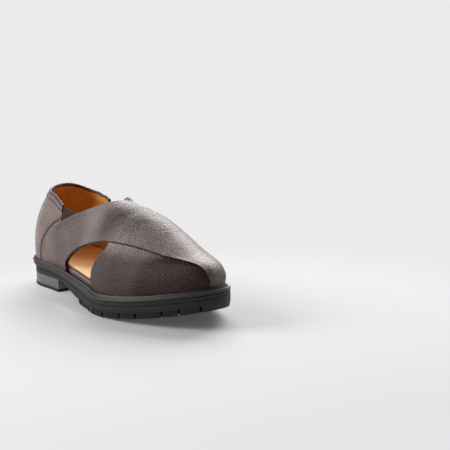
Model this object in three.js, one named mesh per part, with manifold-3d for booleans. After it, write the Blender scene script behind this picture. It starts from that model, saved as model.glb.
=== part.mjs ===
// A peshawari chappal for the right foot: two broad straps crossing over the instep, a back quarter,
// elastic gores, a raised footbed, a storm welt and a lugged rubber sole with a heel.
// Millimetres. The toe points to +X, the medial side to +Y, and the floor is z = 0.
import * as THREE from "three";
import { mergeVertices } from "three/addons/utils/BufferGeometryUtils.js";
import Module from "manifold-3d";

const wasm = await Module();
wasm.setup();

// Overall sizes
const SOLE_LENGTH = 300;
const BALL_HALF_WIDTH = 54;
const HEEL_HALF_WIDTH = 36;
const HEEL_CENTRE_X = -112;
const BALL_CENTRE_X = 45;
const TOE_X = 149;
const TOE_SPRING = 19.1;
const SPRING_START_X = 17.3;
const SPRING_POWER = 1.8;
const PITCH_START_X = -125;
const PITCH_RUN = 170;

// Heights of the stack
const TOP_LIFT = 3;
const HEEL_BLOCK = 10.8;
const LUG_DEPTH = 5.5;
const FOREFOOT_OUTSOLE = 11.5;
const HEEL_OUTSOLE = 4.4;
const MIDSOLE = 3.4;
const WELT_FOREFOOT = 3.2;
const WELT_HEEL = 4.6;
const RIM_HEIGHT = 2.6;
const FOOTBED_RISE = 6.2;
const INSOLE_THICKNESS = 2.4;
const GAP = 0.3;

// Widths across the stack
const RIM_WIDTH = 2;
const RIM_GAP = 0.75;
const WELT_STRIP = 9;
const HEEL_BLOCK_INSET = 2.2;
const HEEL_LENGTH = 74;
const SEAT_INSET = 1.8;
const EDGE_INSET = 0.3;
const TREAD_BEVEL = 1.2;
const ARCH_RISE = 3.5;
const ARCH_X = -45;
const ARCH_SPREAD = 45;
const FOOTBED_CLEARANCE = 1;
const FOOTBED_LIFT = 0.2;
const INSOLE_INSET = 0.6;
const HEEL_BLOCK_STEP = 0.4;

// The upper
const WALL = 2;
const STRAP_STEP = 1.5;
const BAND_STEP = 0.7;
const STEP_ROOT = 0.6;
const PARE_START = 0.87;
const PARE_RUN = 0.1;
const PARE_SINK = 0.02;
const FADE_START_X = -62;
const FADE_RUN = 40;
const MEDIAL_PART_END_X = -10;
const ANKLE_RISE = 105;
const DOMAIN_HALF = 90;
const HEEL_LEAN = 20;
const LEAN_POWER = 2.5;
const LEAN_HEIGHT = 68;
const LEAN_MOST = 1.6;
const LEAN_START_X = -120;
const LEAN_RUN = 70;
const TALL_RUN = 75;
const SIDE_BULGE = 0.06;
const TALL_POWER = 0.35;
const TOE_FLAT = 0.45;
const LATERAL_POINT = 0.25;
const MEDIAL_POINT = 0.03;

const HEEL_REACH = SOLE_LENGTH - (TOE_X - HEEL_CENTRE_X);
const TOE_REACH = TOE_X - BALL_CENTRE_X;
const WAIST_END_X = -18;
const BREAST_X = HEEL_CENTRE_X - HEEL_REACH + HEEL_BLOCK_INSET + HEEL_LENGTH;

// Plan of the sole: half width as a share of the ball half width
const WIDTHS = [
  { x: HEEL_CENTRE_X, share: HEEL_HALF_WIDTH / BALL_HALF_WIDTH },
  { x: -79, share: 0.655 },
  { x: -40, share: 0.657 },
  { x: 0, share: 0.803 },
  { x: 25, share: 0.95 },
  { x: BALL_CENTRE_X, share: 1 },
];

// Sideways swing of the middle line as a share of the ball half width, medial positive
const SWING = [
  { x: HEEL_CENTRE_X, share: 0 },
  { x: -79, share: -0.013 },
  { x: -40, share: -0.104 },
  { x: 0, share: -0.115 },
  { x: 35, share: -0.065 },
  { x: 62, share: -0.01 },
  { x: 100, share: 0.04 },
  { x: TOE_X, share: 0.05 },
];

// How far the upper stands in from the edge of the welt
const INSETS = [
  { x: -152, inset: 2.8 },
  { x: -100, inset: 3 },
  { x: -50, inset: 3.6 },
  { x: 20, inset: 6 },
  { x: 110, inset: 6 },
  { x: TOE_X, inset: 5.4 },
];

// Height of the ridge above the feather as a share of the ankle rise
const RIDGE = [
  { x: HEEL_CENTRE_X, share: 1 },
  { x: -60, share: 0.95 },
  { x: -20, share: 0.81 },
  { x: 10, share: 0.79 },
  { x: 30, share: 0.768 },
  { x: BALL_CENTRE_X, share: 0.728 },
];

// Ridge line of the toe: reach from the ball centre and height, against the share of the way out
const TOE_LINE = [
  { out: 0, reach: 0, height: 1 },
  { out: 0.2, reach: 0.24, height: 0.86 },
  { out: 0.4, reach: 0.47, height: 0.66 },
  { out: 0.6, reach: 0.7, height: 0.455 },
  { out: 0.8, reach: 0.92, height: 0.295 },
  { out: 0.92, reach: 0.993, height: 0.155 },
  { out: 1, reach: 1, height: 0 },
];

// Edges in the flat pattern: station along the shoe, and share of the way from ridge to feather,
// lateral negative
const STRAP_BACK_EDGE = [
  { x: -109, out: -1.06 },
  { x: -108, out: -0.953 },
  { x: -105, out: -0.88 },
  { x: -93, out: -0.773 },
  { x: -71, out: -0.679 },
  { x: -53, out: -0.594 },
  { x: -38, out: -0.494 },
  { x: -26, out: -0.394 },
  { x: -10, out: -0.24 },
  { x: 1, out: -0.13 },
  { x: 9, out: 0.02 },
  { x: 15, out: 0.19 },
  { x: 27, out: 0.43 },
  { x: 34, out: 0.565 },
  { x: 24, out: 0.692 },
  { x: 14, out: 0.781 },
  { x: 8, out: 0.862 },
  { x: 8, out: 0.94 },
  { x: 12, out: 1.06 },
];
const STRAP_FRONT_EDGE = [
  { x: -55, out: -1.06 },
  { x: -56, out: -0.99 },
  { x: -53, out: -0.93 },
  { x: -40, out: -0.839 },
  { x: -20, out: -0.727 },
  { x: 9, out: -0.625 },
  { x: 33, out: -0.557 },
  { x: 50, out: -0.526 },
  { x: 69, out: -0.487 },
  { x: 89, out: -0.426 },
  { x: 109, out: -0.302 },
  { x: 123, out: -0.198 },
  { x: 133, out: -0.15 },
  { x: 144, out: -0.115 },
  { x: 155, out: -0.08 },
];
// The top edge of the back quarter on the lateral side, on the medial side, and at the back
const COLLAR_EDGE = [
  { x: -67, out: -0.534 },
  { x: -77, out: -0.531 },
  { x: -87, out: -0.523 },
  { x: -100, out: -0.507 },
  { x: HEEL_CENTRE_X, out: -0.487 },
];
const COLLAR_MEDIAL_EDGE = [
  { x: -67, out: -0.534 },
  { x: -85, out: -0.55 },
  { x: -100, out: -0.556 },
  { x: HEEL_CENTRE_X, out: -0.545 },
];
const COLLAR_BACK_OUT = 0.455;
const VEE_X = -38.5;
const GORE_FOOT_OUT = 0.663;
const BAND_DEPTH_OUT = 0.05;

// The throat corner of the strap beneath stands a little proud of the instep
const THROAT_LIFT = 7;
const THROAT_X = 1.5;
const THROAT_OUT = 0.19;
const THROAT_SPREAD = 5.5;

// Tread: stations of the slots on each side, and their directions round the toe
const SIDE_SLOTS = [
  { lateral: -12, medial: -16 },
  { lateral: -1, medial: -3 },
  { lateral: 14, medial: 12 },
  { lateral: 27, medial: 26 },
  { lateral: 44, medial: 41 },
];
const TOE_SLOTS = [
  { turn: -78 }, { turn: -67 }, { turn: -50 }, { turn: -38 }, { turn: -20 },
  { turn: 4 }, { turn: 24 }, { turn: 42 }, { turn: 58 }, { turn: 74 },
];
const STUDS = [
  { x: -9, y: -3 },
  { x: 9, y: -8 },
  { x: 20, y: 7 },
  { x: 39, y: -9 },
  { x: 51, y: 9 },
  { x: 73, y: 2 },
];
const BLOCK_LENGTH = 26;
const SLOT_WIDTH = 2.6;
const SLOT_DIAMOND = 5.4;
const STUD_SIZE = 8;
const STUD_NOTCH = 0.55;
const STUD_TURN = 16;
const STUD_LEVEL = 0.15;
const DIAMOND_SHARE = 0.12;
const TOE_TURN = 12;
const TOE_SLOT_END = 7;
const SLOT_OVERRUN = 8;
const SLOT_START = 1;
const OPEN_START = BLOCK_LENGTH + SLOT_START;
const TOE_SLOT_WALL = 4;
const TREAD_OVERLAP = 0.05;

// Grid of the flat pattern
const STATION_STEP = 8;
const FAN_STEPS = 8;
const HEEL_FAN_STEPS = 14;

function clamp(value, low, high) {
  return Math.min(high, Math.max(low, value));
}

function smooth(t) {
  const c = clamp(t, 0, 1);
  return c * c * (3 - 2 * c);
}

// A smooth curve through the rows of a table, level at both ends unless told to run on.
function through(rows, from, to, runOn) {
  const n = rows.length;
  const slopes = rows.map((row, i) => {
    if (i > 0 && i < n - 1) {
      return (rows[i + 1][to] - rows[i - 1][to]) / (rows[i + 1][from] - rows[i - 1][from]);
    }
    const a = i ? n - 2 : 0;
    return runOn ? (rows[a + 1][to] - rows[a][to]) / (rows[a + 1][from] - rows[a][from]) : 0;
  });
  return (value) => {
    const v = clamp(value, rows[0][from], rows[n - 1][from]);
    let i = 0;
    while (i < n - 2 && v > rows[i + 1][from]) i += 1;
    const span = rows[i + 1][from] - rows[i][from];
    const t = (v - rows[i][from]) / span;
    const s = 1 - t;
    return (
      rows[i][to] * (1 + 2 * t) * s * s +
      slopes[i] * span * t * s * s +
      rows[i + 1][to] * t * t * (3 - 2 * t) -
      slopes[i + 1] * span * t * t * s
    );
  };
}

const widthShare = through(WIDTHS, "x", "share", false);
const swingShare = through(SWING, "x", "share", false);
const insetAt = through(INSETS, "x", "inset", false);
const ridgeShare = through(RIDGE, "x", "share", false);
const toeReach = through(TOE_LINE, "out", "reach", true);
const toeHeight = through(TOE_LINE, "out", "height", true);

function swing(x) {
  return swingShare(x) * BALL_HALF_WIDTH;
}

function spring(x) {
  const t = Math.max(0, (x - SPRING_START_X) / (TOE_X - SPRING_START_X));
  return TOE_SPRING * t ** SPRING_POWER;
}

// One at the heel, falling to nothing at the ball.
function pitch(x) {
  return 1 - smooth((x - PITCH_START_X) / PITCH_RUN);
}

// Heights of the layers at a station
const HEEL_SEAT = TOP_LIFT + HEEL_BLOCK;

function outsoleUnder(x) {
  const rise = 1 - smooth((x - BREAST_X - 3) / (WAIST_END_X - BREAST_X - 3));
  return LUG_DEPTH + (HEEL_SEAT - LUG_DEPTH) * rise + spring(x);
}

function outsoleTop(x) {
  return FOREFOOT_OUTSOLE + (HEEL_SEAT + HEEL_OUTSOLE - FOREFOOT_OUTSOLE) * pitch(x) + spring(x);
}

function midsoleTop(x) {
  return outsoleTop(x) + GAP + MIDSOLE;
}

function weltTop(x) {
  return midsoleTop(x) + GAP + WELT_FOREFOOT + (WELT_HEEL - WELT_FOREFOOT) * pitch(x);
}

function feather(x) {
  return weltTop(x) + GAP;
}

// A ray runs from the middle line to the edge; in the fans at the heel and toe it turns.
function raysRound() {
  const rays = [];
  const along = Math.round((BALL_CENTRE_X - HEEL_CENTRE_X) / STATION_STEP);
  for (let i = 0; i < along; i += 1) {
    rays.push({ x: HEEL_CENTRE_X + ((BALL_CENTRE_X - HEEL_CENTRE_X) * i) / along, turn: -90 });
  }
  for (let i = 0; i < FAN_STEPS * 2; i += 1) {
    rays.push({ x: BALL_CENTRE_X, turn: -90 + (90 * i) / FAN_STEPS });
  }
  for (let i = 0; i < along; i += 1) {
    rays.push({ x: BALL_CENTRE_X - ((BALL_CENTRE_X - HEEL_CENTRE_X) * i) / along, turn: 90 });
  }
  for (let i = 0; i < HEEL_FAN_STEPS; i += 1) {
    rays.push({ x: HEEL_CENTRE_X, turn: 90 + (180 * i) / HEEL_FAN_STEPS });
  }
  return rays;
}

const RAYS = raysRound();

// The edge of the sole at the end of a ray, drawn in by an inset, as an offset from the ray's foot.
function edgeOf(x, co, si, inset) {
  if (co > 0) {
    const point = si < 0 ? LATERAL_POINT : MEDIAL_POINT;
    return {
      dx: (TOE_REACH - inset) * co,
      dy: (BALL_HALF_WIDTH - inset) * si * (1 - point * co * co),
    };
  }
  if (co < 0) return { dx: (HEEL_REACH - inset) * co, dy: (HEEL_HALF_WIDTH - inset) * si };
  return { dx: 0, dy: (widthShare(x) * BALL_HALF_WIDTH - inset) * si };
}

function unitOf(turn) {
  if (turn === -90) return { co: 0, si: -1 };
  if (turn === 90) return { co: 0, si: 1 };
  const a = THREE.MathUtils.degToRad(turn);
  return { co: Math.cos(a), si: Math.sin(a) };
}

// A point of the plan on a ray, a share of the way out, drawn in by an inset.
function planPoint(ray, share, inset) {
  const { co, si } = unitOf(ray.turn);
  const edge = edgeOf(ray.x, co, si, inset);
  const x = ray.x + edge.dx * share;
  return new THREE.Vector2(x, swing(x) + edge.dy * share);
}

// Where a ray meets the edge of the upper: the same ray, drawn in by the inset of its own station.
function upperInset(ray) {
  const { co } = unitOf(ray.turn);
  const reach = co > 0 ? TOE_REACH : HEEL_REACH;
  return insetAt(ray.x + reach * co);
}

// A closed skin over a stack of loops that all have one point to a ray.
function skin(loops, closed) {
  const corners = [];
  const n = loops[0].length;
  const last = closed ? loops.length : loops.length - 1;
  for (let j = 0; j < last; j += 1) {
    const low = loops[j];
    const high = loops[(j + 1) % loops.length];
    for (let i = 0; i < n; i += 1) {
      const k = (i + 1) % n;
      corners.push(low[i], low[k], high[k], low[i], high[k], high[i]);
    }
  }
  return new THREE.BufferGeometry().setFromPoints(corners);
}

// A solid for joining and cutting, with the triangles that closed up to nothing left out.
function solidOf(geometry) {
  const plain = new THREE.BufferGeometry();
  plain.setAttribute("position", geometry.getAttribute("position"));
  if (geometry.index) plain.setIndex(geometry.index);
  const merged = mergeVertices(plain, 1e-4);
  const kept = [];
  const index = merged.index.array;
  for (let i = 0; i < index.length; i += 3) {
    const [a, b, c] = [index[i], index[i + 1], index[i + 2]];
    if (a !== b && b !== c && c !== a) kept.push(a, b, c);
  }
  return new wasm.Manifold(
    new wasm.Mesh({
      numProp: 3,
      vertProperties: merged.attributes.position.array,
      triVerts: new Uint32Array(kept),
    }),
  );
}

function geometryOf(solid, place) {
  const mesh = solid.getMesh();
  const count = mesh.numVert;
  const moved = new Float32Array(count * 3);
  for (let i = 0; i < count; i += 1) {
    const at = i * mesh.numProp;
    const [x, y, z] = mesh.vertProperties.slice(at, at + 3);
    const p = place(x, y, z);
    moved.set([p.x, p.y, p.z], i * 3);
  }
  const geometry = new THREE.BufferGeometry();
  geometry.setAttribute("position", new THREE.BufferAttribute(moved, 3));
  geometry.setIndex(new THREE.BufferAttribute(new Uint32Array(mesh.triVerts), 1));
  return geometry;
}

// The surface of the form

// From the flat pattern to the form: x along, y across in domain units.
function formPoint(dx, dy) {
  const across = dy / DOMAIN_HALF;
  const toe = dx > BALL_CENTRE_X;
  const heel = dx < HEEL_CENTRE_X;
  let u = 0;
  if (toe) u = (dx - BALL_CENTRE_X) / TOE_REACH;
  if (heel) u = (dx - HEEL_CENTRE_X) / HEEL_REACH;
  const far = Math.hypot(u, across);
  const co = far > 1e-9 ? u / far : 0;
  const si = far > 1e-9 ? across / far : 1;
  const out = Math.min(1, far);
  const angle = (out * Math.PI) / 2;
  const tall = smooth(-dx / TALL_RUN);
  const bulge = SIDE_BULGE * Math.sin(2 * angle) * 2 * clamp(2 * out - 1, 0, 1);
  const sine = Math.sin(angle);
  let reach = (1 - tall) * sine + tall * (sine ** TALL_POWER + bulge);
  let rise = Math.cos(angle);
  if (toe) {
    const mix = Math.max(0, co) ** (1 - TOE_FLAT * out);
    reach += mix * (toeReach(out) - reach);
    rise += mix * (toeHeight(out) - rise);
  }
  const foot = clamp(dx, HEEL_CENTRE_X, BALL_CENTRE_X);
  const rim = foot + (toe ? TOE_REACH * co : 0) + (heel ? HEEL_REACH * co : 0);
  const edge = edgeOf(foot, toe || heel ? co : 0, si, insetAt(rim));
  const x = foot + edge.dx * reach;
  const height = ridgeShare(foot) * ANKLE_RISE * rise;
  const lean = HEEL_LEAN * clamp(height / LEAN_HEIGHT, 0, LEAN_MOST) ** LEAN_POWER;
  const away = Math.hypot(dx - THROAT_X, dy - THROAT_OUT * DOMAIN_HALF) / THROAT_SPREAD;
  return new THREE.Vector3(
    x + lean * (1 - smooth((x - LEAN_START_X) / LEAN_RUN)),
    swing(x) + edge.dy * reach,
    feather(x) + height + THROAT_LIFT * Math.exp(-away * away),
  );
}

const PROBE = 0.25;

// The outward direction of the form at a point of the flat pattern.
function formNormal(dx, dy) {
  const along = formPoint(dx + PROBE, dy).sub(formPoint(dx - PROBE, dy));
  const across = formPoint(dx, dy + PROBE).sub(formPoint(dx, dy - PROBE));
  return along.cross(across).normalize();
}

// Flat solids carry a slight dish, so that no two facets lie in one plane and all points are kept.
const DISH_LENGTH = 400;
const DISH_ACROSS = 1.7;

function dish(dx, dy) {
  return (dx * dx + DISH_ACROSS * dy * dy) / DISH_LENGTH;
}

function lasted(dx, dy, dz) {
  const lift = dz - dish(dx, dy);
  return formPoint(dx, dy).addScaledVector(formNormal(dx, dy), lift);
}

const RINGS = [0, 0.12, 0.24, 0.35, 0.45, 0.54, 0.63, 0.71, 0.79, 0.86, 0.93, 1];

// A sheet of the flat pattern between two heights, over the whole form.
function sheet(bottom, top) {
  const ring = (share, height) =>
    RAYS.map((ray) => {
      const { co, si } = unitOf(ray.turn);
      const reach = co > 0 ? TOE_REACH : HEEL_REACH;
      const x = ray.x + reach * co * share;
      const y = DOMAIN_HALF * si * share;
      return new THREE.Vector3(x, y, height(x, y) + dish(x, y));
    });
  const loops = [
    ...RINGS.map((share) => ring(share, bottom)),
    ...RINGS.toReversed().map((share) => ring(share, top)),
  ];
  return solidOf(skin(loops, false));
}

// A cutter: a prism over a closed outline in the plane, from far below to far above.
const CUTTER_LOW = -60;
const CUTTER_DEPTH = 260;

function prism(points) {
  const outline = points.map((p) => new THREE.Vector2(p.x, p.y));
  if (THREE.ShapeUtils.area(outline) < 0) outline.reverse();
  const made = new THREE.ExtrudeGeometry(new THREE.Shape(outline), {
    depth: CUTTER_DEPTH,
    bevelEnabled: false,
    steps: 1,
  });
  made.translate(0, 0, CUTTER_LOW);
  return solidOf(made);
}

const EDGE_PITCH = 4.8;

// Points along a smooth line through table rows, as domain points.
function drawn(rows) {
  const line = new THREE.CatmullRomCurve3(
    rows.map((row) => new THREE.Vector3(row.x, row.out * DOMAIN_HALF, 0)),
    false,
    "centripetal",
  );
  const count = Math.max(2, Math.round(line.getLength() / EDGE_PITCH));
  return line.getSpacedPoints(count).map((p) => new THREE.Vector2(p.x, p.y));
}

function mirrored(points) {
  return points.map((p) => new THREE.Vector2(p.x, -p.y));
}

// Where one line first crosses another: the points of the first up to it, and those after it.
function splitAt(first, second) {
  for (let i = 0; i < first.length - 1; i += 1) {
    for (let j = 0; j < second.length - 1; j += 1) {
      const a = first[i];
      const b = first[i + 1];
      const c = second[j];
      const d = second[j + 1];
      const r = b.clone().sub(a);
      const s = d.clone().sub(c);
      const denominator = r.cross(s);
      if (Math.abs(denominator) > 1e-9) {
        const t = c.clone().sub(a).cross(s) / denominator;
        const u = c.clone().sub(a).cross(r) / denominator;
        if (t >= 0 && t <= 1 && u >= 0 && u <= 1) {
          const at = a.clone().addScaledVector(r, t);
          return { before: [...first.slice(0, i + 1), at], after: [at, ...first.slice(i + 1)] };
        }
      }
    }
  }
  throw new Error("the two edges do not cross");
}

const backEdge = drawn(STRAP_BACK_EDGE);
const frontEdge = drawn(STRAP_FRONT_EDGE);
const backMirror = mirrored(backEdge);

// The lateral cut-out lies under the strap's front edge and behind the other strap's back edge.
const cutTop = splitAt(frontEdge, backMirror).before;
const cutFront = splitAt(backMirror, frontEdge).after;
const lateralCut = [...cutTop, ...cutFront.slice(1)];

// The throat: from the gore over the collar and back, closed by both straps at the instep.
const goreFront = new THREE.Vector2(COLLAR_EDGE[0].x, COLLAR_EDGE[0].out * DOMAIN_HALF);
const middleLine = [new THREE.Vector2(VEE_X, 0), new THREE.Vector2(BALL_CENTRE_X, 0)];
const ridgeSplit = splitAt(backEdge, middleLine).before;
const veeIndex = ridgeSplit.findIndex((p) => p.x > VEE_X);
const strapTop = ridgeSplit.slice(veeIndex);

function collarLine(depth) {
  const lower = (rows) => drawn(rows.map((row) => ({ x: row.x, out: row.out - depth })));
  const back = [];
  for (let i = 1; i < HEEL_FAN_STEPS; i += 1) {
    const turn = i / HEEL_FAN_STEPS;
    const a = Math.PI * (0.5 + turn);
    const rise = Math.cos(a) ** 2;
    const start = turn < 0.5 ? COLLAR_EDGE.at(-1).out : COLLAR_MEDIAL_EDGE.at(-1).out;
    const share = depth - start * (1 - rise) + COLLAR_BACK_OUT * rise;
    const x = HEEL_CENTRE_X + HEEL_REACH * share * Math.cos(a);
    back.push(new THREE.Vector2(x, -DOMAIN_HALF * share * Math.sin(a)));
  }
  return [...lower(COLLAR_EDGE), ...back, ...mirrored(lower(COLLAR_MEDIAL_EDGE)).toReversed()];
}

const throat = [...strapTop.toReversed(), ...collarLine(0), ...mirrored(strapTop).slice(0, -1)];

// The gore window: a triangle between the quarter's front edge and the strap.
const goreFoot = new THREE.Vector2(COLLAR_EDGE[0].x, -GORE_FOOT_OUT * DOMAIN_HALF);
const strapRun = backEdge.filter((p) => p.x > COLLAR_EDGE[0].x && p.x < VEE_X);
const goreWindow = [goreFront, goreFoot, ...strapRun, strapTop[0]];

function grown(points, by) {
  const centre = points
    .reduce((sum, p) => sum.add(p), new THREE.Vector2())
    .divideScalar(points.length);
  return points.map((p) => {
    const away = p.clone().sub(centre);
    return centre.clone().addScaledVector(away, 1 + by / away.length());
  });
}

// The strap between its two edges, closed beyond the feather at both ends.
const BEYOND_TOE_X = 200;
const BEYOND_OUT = 1.2;
const BEYOND_BALL_X = 90;
const BEYOND_HEEL_X = -90;
const strapOutline = [
  ...backEdge,
  new THREE.Vector2(BEYOND_BALL_X, BEYOND_OUT * DOMAIN_HALF),
  new THREE.Vector2(BEYOND_TOE_X, BEYOND_OUT * DOMAIN_HALF),
  new THREE.Vector2(BEYOND_TOE_X, frontEdge.at(-1).y),
  ...frontEdge.toReversed(),
  new THREE.Vector2(BEYOND_HEEL_X, -BEYOND_OUT * DOMAIN_HALF),
];

// How far out from the ridge a point of the flat pattern lies, one at the feather.
function outAt(x, y) {
  let u = 0;
  if (x > BALL_CENTRE_X) u = (x - BALL_CENTRE_X) / TOE_REACH;
  if (x < HEEL_CENTRE_X) u = (x - HEEL_CENTRE_X) / HEEL_REACH;
  return Math.hypot(u, y / DOMAIN_HALF);
}

// The raised strap is pared down where it is lasted under the rim of the welt.
function paredStep(x, y) {
  return STRAP_STEP * (1 - smooth((outAt(x, y) - PARE_START) / PARE_RUN)) - PARE_SINK;
}

// The medial heel part of the strap beneath stands proud of the quarter and sinks to the instep.
function fadingStep(x, y) {
  return (paredStep(x, y) + PARE_SINK) * (1 - smooth((x - FADE_START_X) / FADE_RUN)) + 2 * PARE_SINK;
}

const base = sheet(() => -WALL, () => 0);
const raisedAll = sheet(() => -STEP_ROOT, paredStep);
const raisedFading = sheet(() => -STEP_ROOT, fadingStep);
const raisedBand = sheet(() => -STEP_ROOT, () => BAND_STEP);

const overStrap = raisedAll.intersect(prism(strapOutline));
const medialHeelPart = prism([
  new THREE.Vector2(-BEYOND_TOE_X, 0),
  new THREE.Vector2(-BEYOND_TOE_X, BEYOND_OUT * DOMAIN_HALF),
  new THREE.Vector2(MEDIAL_PART_END_X, BEYOND_OUT * DOMAIN_HALF),
  new THREE.Vector2(MEDIAL_PART_END_X, 0),
]);
const underStrap = raisedFading
  .intersect(prism(mirrored(strapOutline)))
  .intersect(medialHeelPart);
const bandOutline = [...collarLine(BAND_DEPTH_OUT), new THREE.Vector2(COLLAR_EDGE[0].x, 0)];
const straps = prism(strapOutline).add(prism(mirrored(strapOutline)));
const collarBand = raisedBand.intersect(prism(bandOutline)).subtract(straps);

const upperFlat = base
  .add(overStrap)
  .add(underStrap)
  .add(collarBand)
  .subtract(prism(lateralCut))
  .subtract(prism(mirrored(lateralCut)))
  .subtract(prism(throat))
  .subtract(prism(goreWindow))
  .subtract(prism(mirrored(goreWindow)));

// The elastic gore fills its window from behind, a little below the face of the quarter.
const GORE_FACE = -0.5;
const GORE_THICKNESS = 1.2;
const goreSheet = sheet(() => GORE_FACE - GORE_THICKNESS, () => GORE_FACE);
const GORE_INSET = 0.6;
const goreOutline = grown(goreWindow, -GORE_INSET);
const goreLateral = goreSheet.intersect(prism(goreOutline));
const goreMedial = goreSheet.intersect(prism(mirrored(goreOutline)));

// Plates and strips of the bottom

function loopOf(share, inset, height) {
  return RAYS.map((ray) => {
    const p = planPoint(ray, share, typeof inset === "function" ? inset(ray) : inset);
    return new THREE.Vector3(p.x, p.y, height(p.x, ray.turn === 90 ? share : 0));
  });
}

// The midsole and outsole draw in under the welt at the heel seat.
function seatInset(ray) {
  const { co } = unitOf(ray.turn);
  return SEAT_INSET * pitch(ray.x + (co < 0 ? HEEL_REACH * co : TOE_REACH * co)) + EDGE_INSET;
}

const PLATE_SHARES = [0, 0.4, 0.75];

// A plate that follows the outline between two height functions.
function plate(inset, under, over) {
  const low = PLATE_SHARES.map((share) => loopOf(share, inset, under));
  const high = PLATE_SHARES.map((share) => loopOf(share, inset, over)).toReversed();
  return skin([...low, loopOf(1, inset, under), loopOf(1, inset, over), ...high], false);
}

const footbedInset = (ray) => upperInset(ray) + WALL + FOOTBED_CLEARANCE;
const stripInset = (ray) => upperInset(ray) + WELT_STRIP;
const bedInset = (ray) => stripInset(ray) + GAP;

const midsoleGeometry = plate(seatInset, (x) => outsoleTop(x) + GAP, midsoleTop);

// The bed is cupped up along the medial arch.
function archRise(x, medial) {
  const along = (x - ARCH_X) / ARCH_SPREAD;
  return ARCH_RISE * medial * medial * Math.exp(-along * along);
}

// The footbed: a wrapped platform that fills the ring of the welt and rises inside the upper.
const bedLow = (x) => midsoleTop(x) + GAP;
const bedTop = (x, medial) => feather(x) + FOOTBED_RISE + archRise(x, medial);
const footbedGeometry = skin(
  [
    ...PLATE_SHARES.map((share) => loopOf(share, bedInset, bedLow)),
    loopOf(1, bedInset, bedLow),
    loopOf(1, bedInset, (x) => feather(x) + FOOTBED_LIFT),
    loopOf(1, footbedInset, (x) => feather(x) + FOOTBED_LIFT),
    loopOf(1, footbedInset, bedTop),
    ...PLATE_SHARES.toReversed().map((share) => loopOf(share, footbedInset, bedTop)),
  ],
  false,
);

const insoleGeometry = plate(
  (ray) => footbedInset(ray) + INSOLE_INSET,
  (x, medial) => bedTop(x, medial) + GAP,
  (x, medial) => bedTop(x, medial) + GAP + INSOLE_THICKNESS,
);

// The welt: a strip round the feather with a standing rim.
const rimOuter = (ray) => upperInset(ray) - RIM_GAP - RIM_WIDTH;
const rimInner = (ray) => upperInset(ray) - RIM_GAP;
const rimTop = (x) => weltTop(x) + RIM_HEIGHT;
const weltUnder = (x) => midsoleTop(x) + GAP;
const weltGeometry = skin(
  [
    loopOf(1, stripInset, weltUnder),
    loopOf(1, 0, weltUnder),
    loopOf(1, 0, weltTop),
    loopOf(1, rimOuter, weltTop),
    loopOf(1, rimOuter, rimTop),
    loopOf(1, rimInner, rimTop),
    loopOf(1, rimInner, weltTop),
    loopOf(1, stripInset, weltTop),
  ],
  true,
);

// The outsole: cut flat in levels, then bent. Level 0 is the tread, 1 its floor, 2 the top.
const LEVEL = 20;
const LEVEL_DISH_SHARE = 0.1;

function levelDish(x, y) {
  return dish(x, y) * LEVEL_DISH_SHARE;
}

function slab(low, high) {
  const ring = (share, level) =>
    RAYS.map((ray) => {
      const bevel = TREAD_BEVEL * Math.max(0, 1 - level);
      const p = planPoint(ray, share, seatInset(ray) + bevel);
      return new THREE.Vector3(p.x, p.y, level * LEVEL + levelDish(p.x, p.y));
    });
  const shares = [...PLATE_SHARES, 1];
  return solidOf(
    skin(
      [
        ...shares.map((share) => ring(share, low)),
        ...shares.toReversed().map((share) => ring(share, high)),
      ],
      false,
    ),
  );
}

// One slot: narrow, widening to a diamond at the middle of the block.
function slotOn(ray, start, stop) {
  const a = planPoint(ray, 1, start);
  const b = planPoint(ray, 1, stop);
  const along = b.clone().sub(a);
  const side = new THREE.Vector2(-along.y, along.x).normalize();
  const at = (share, half) =>
    a.clone().addScaledVector(along, share).addScaledVector(side, half);
  const half = SLOT_WIDTH / 2;
  const wide = SLOT_DIAMOND / 2;
  const from = 0.5 - DIAMOND_SHARE;
  const to = 0.5 + DIAMOND_SHARE;
  return prism([
    at(0, half), at(from, half), at(0.5, wide), at(to, half), at(1, half),
    at(1, -half), at(to, -half), at(0.5, -wide), at(from, -half), at(0, -half),
  ]);
}

// A stud: a square with notched sides, turned on its corner.
function stud(row) {
  const points = [];
  for (let i = 0; i < 8; i += 1) {
    const a = THREE.MathUtils.degToRad(45 * i + STUD_TURN);
    const r = i % 2 ? STUD_SIZE : STUD_SIZE * STUD_NOTCH;
    points.push({
      x: row.x + r * Math.cos(a),
      y: swing(row.x) + row.y + r * Math.sin(a),
    });
  }
  return prism(points);
}

// The smooth middle of the tread, inside the ring of blocks.
const recess = RAYS.filter((ray) => ray.x > WAIST_END_X - STATION_STEP).map((ray) =>
  planPoint(ray, 1, BLOCK_LENGTH),
);
const forefoot = [
  new THREE.Vector2(WAIST_END_X, -DOMAIN_HALF),
  new THREE.Vector2(BEYOND_TOE_X, -DOMAIN_HALF),
  new THREE.Vector2(BEYOND_TOE_X, DOMAIN_HALF),
  new THREE.Vector2(WAIST_END_X, DOMAIN_HALF),
];
const slots = [
  ...SIDE_SLOTS.map((row) => slotOn({ x: row.lateral, turn: -90 }, OPEN_START, -SLOT_OVERRUN)),
  ...SIDE_SLOTS.map((row) => slotOn({ x: row.medial, turn: 90 }, OPEN_START, -SLOT_OVERRUN)),
  ...TOE_SLOTS.map((row) =>
    slotOn(
      { x: BALL_CENTRE_X, turn: row.turn },
      BLOCK_LENGTH - TOE_SLOT_WALL,
      Math.abs(row.turn) < TOE_TURN ? TOE_SLOT_END : -SLOT_OVERRUN,
    ),
  ),
];
const tread = slots
  .reduce(
    (solid, cutter) => solid.subtract(cutter),
    slab(0, 1 + TREAD_OVERLAP).intersect(prism(forefoot)),
  )
  .subtract(prism(recess));
const studSheet = slab(STUD_LEVEL, 1 + TREAD_OVERLAP);
const outsoleFlat = STUDS.reduce(
  (solid, row) => solid.add(studSheet.intersect(stud(row))),
  slab(1, 2).add(tread),
);

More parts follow.
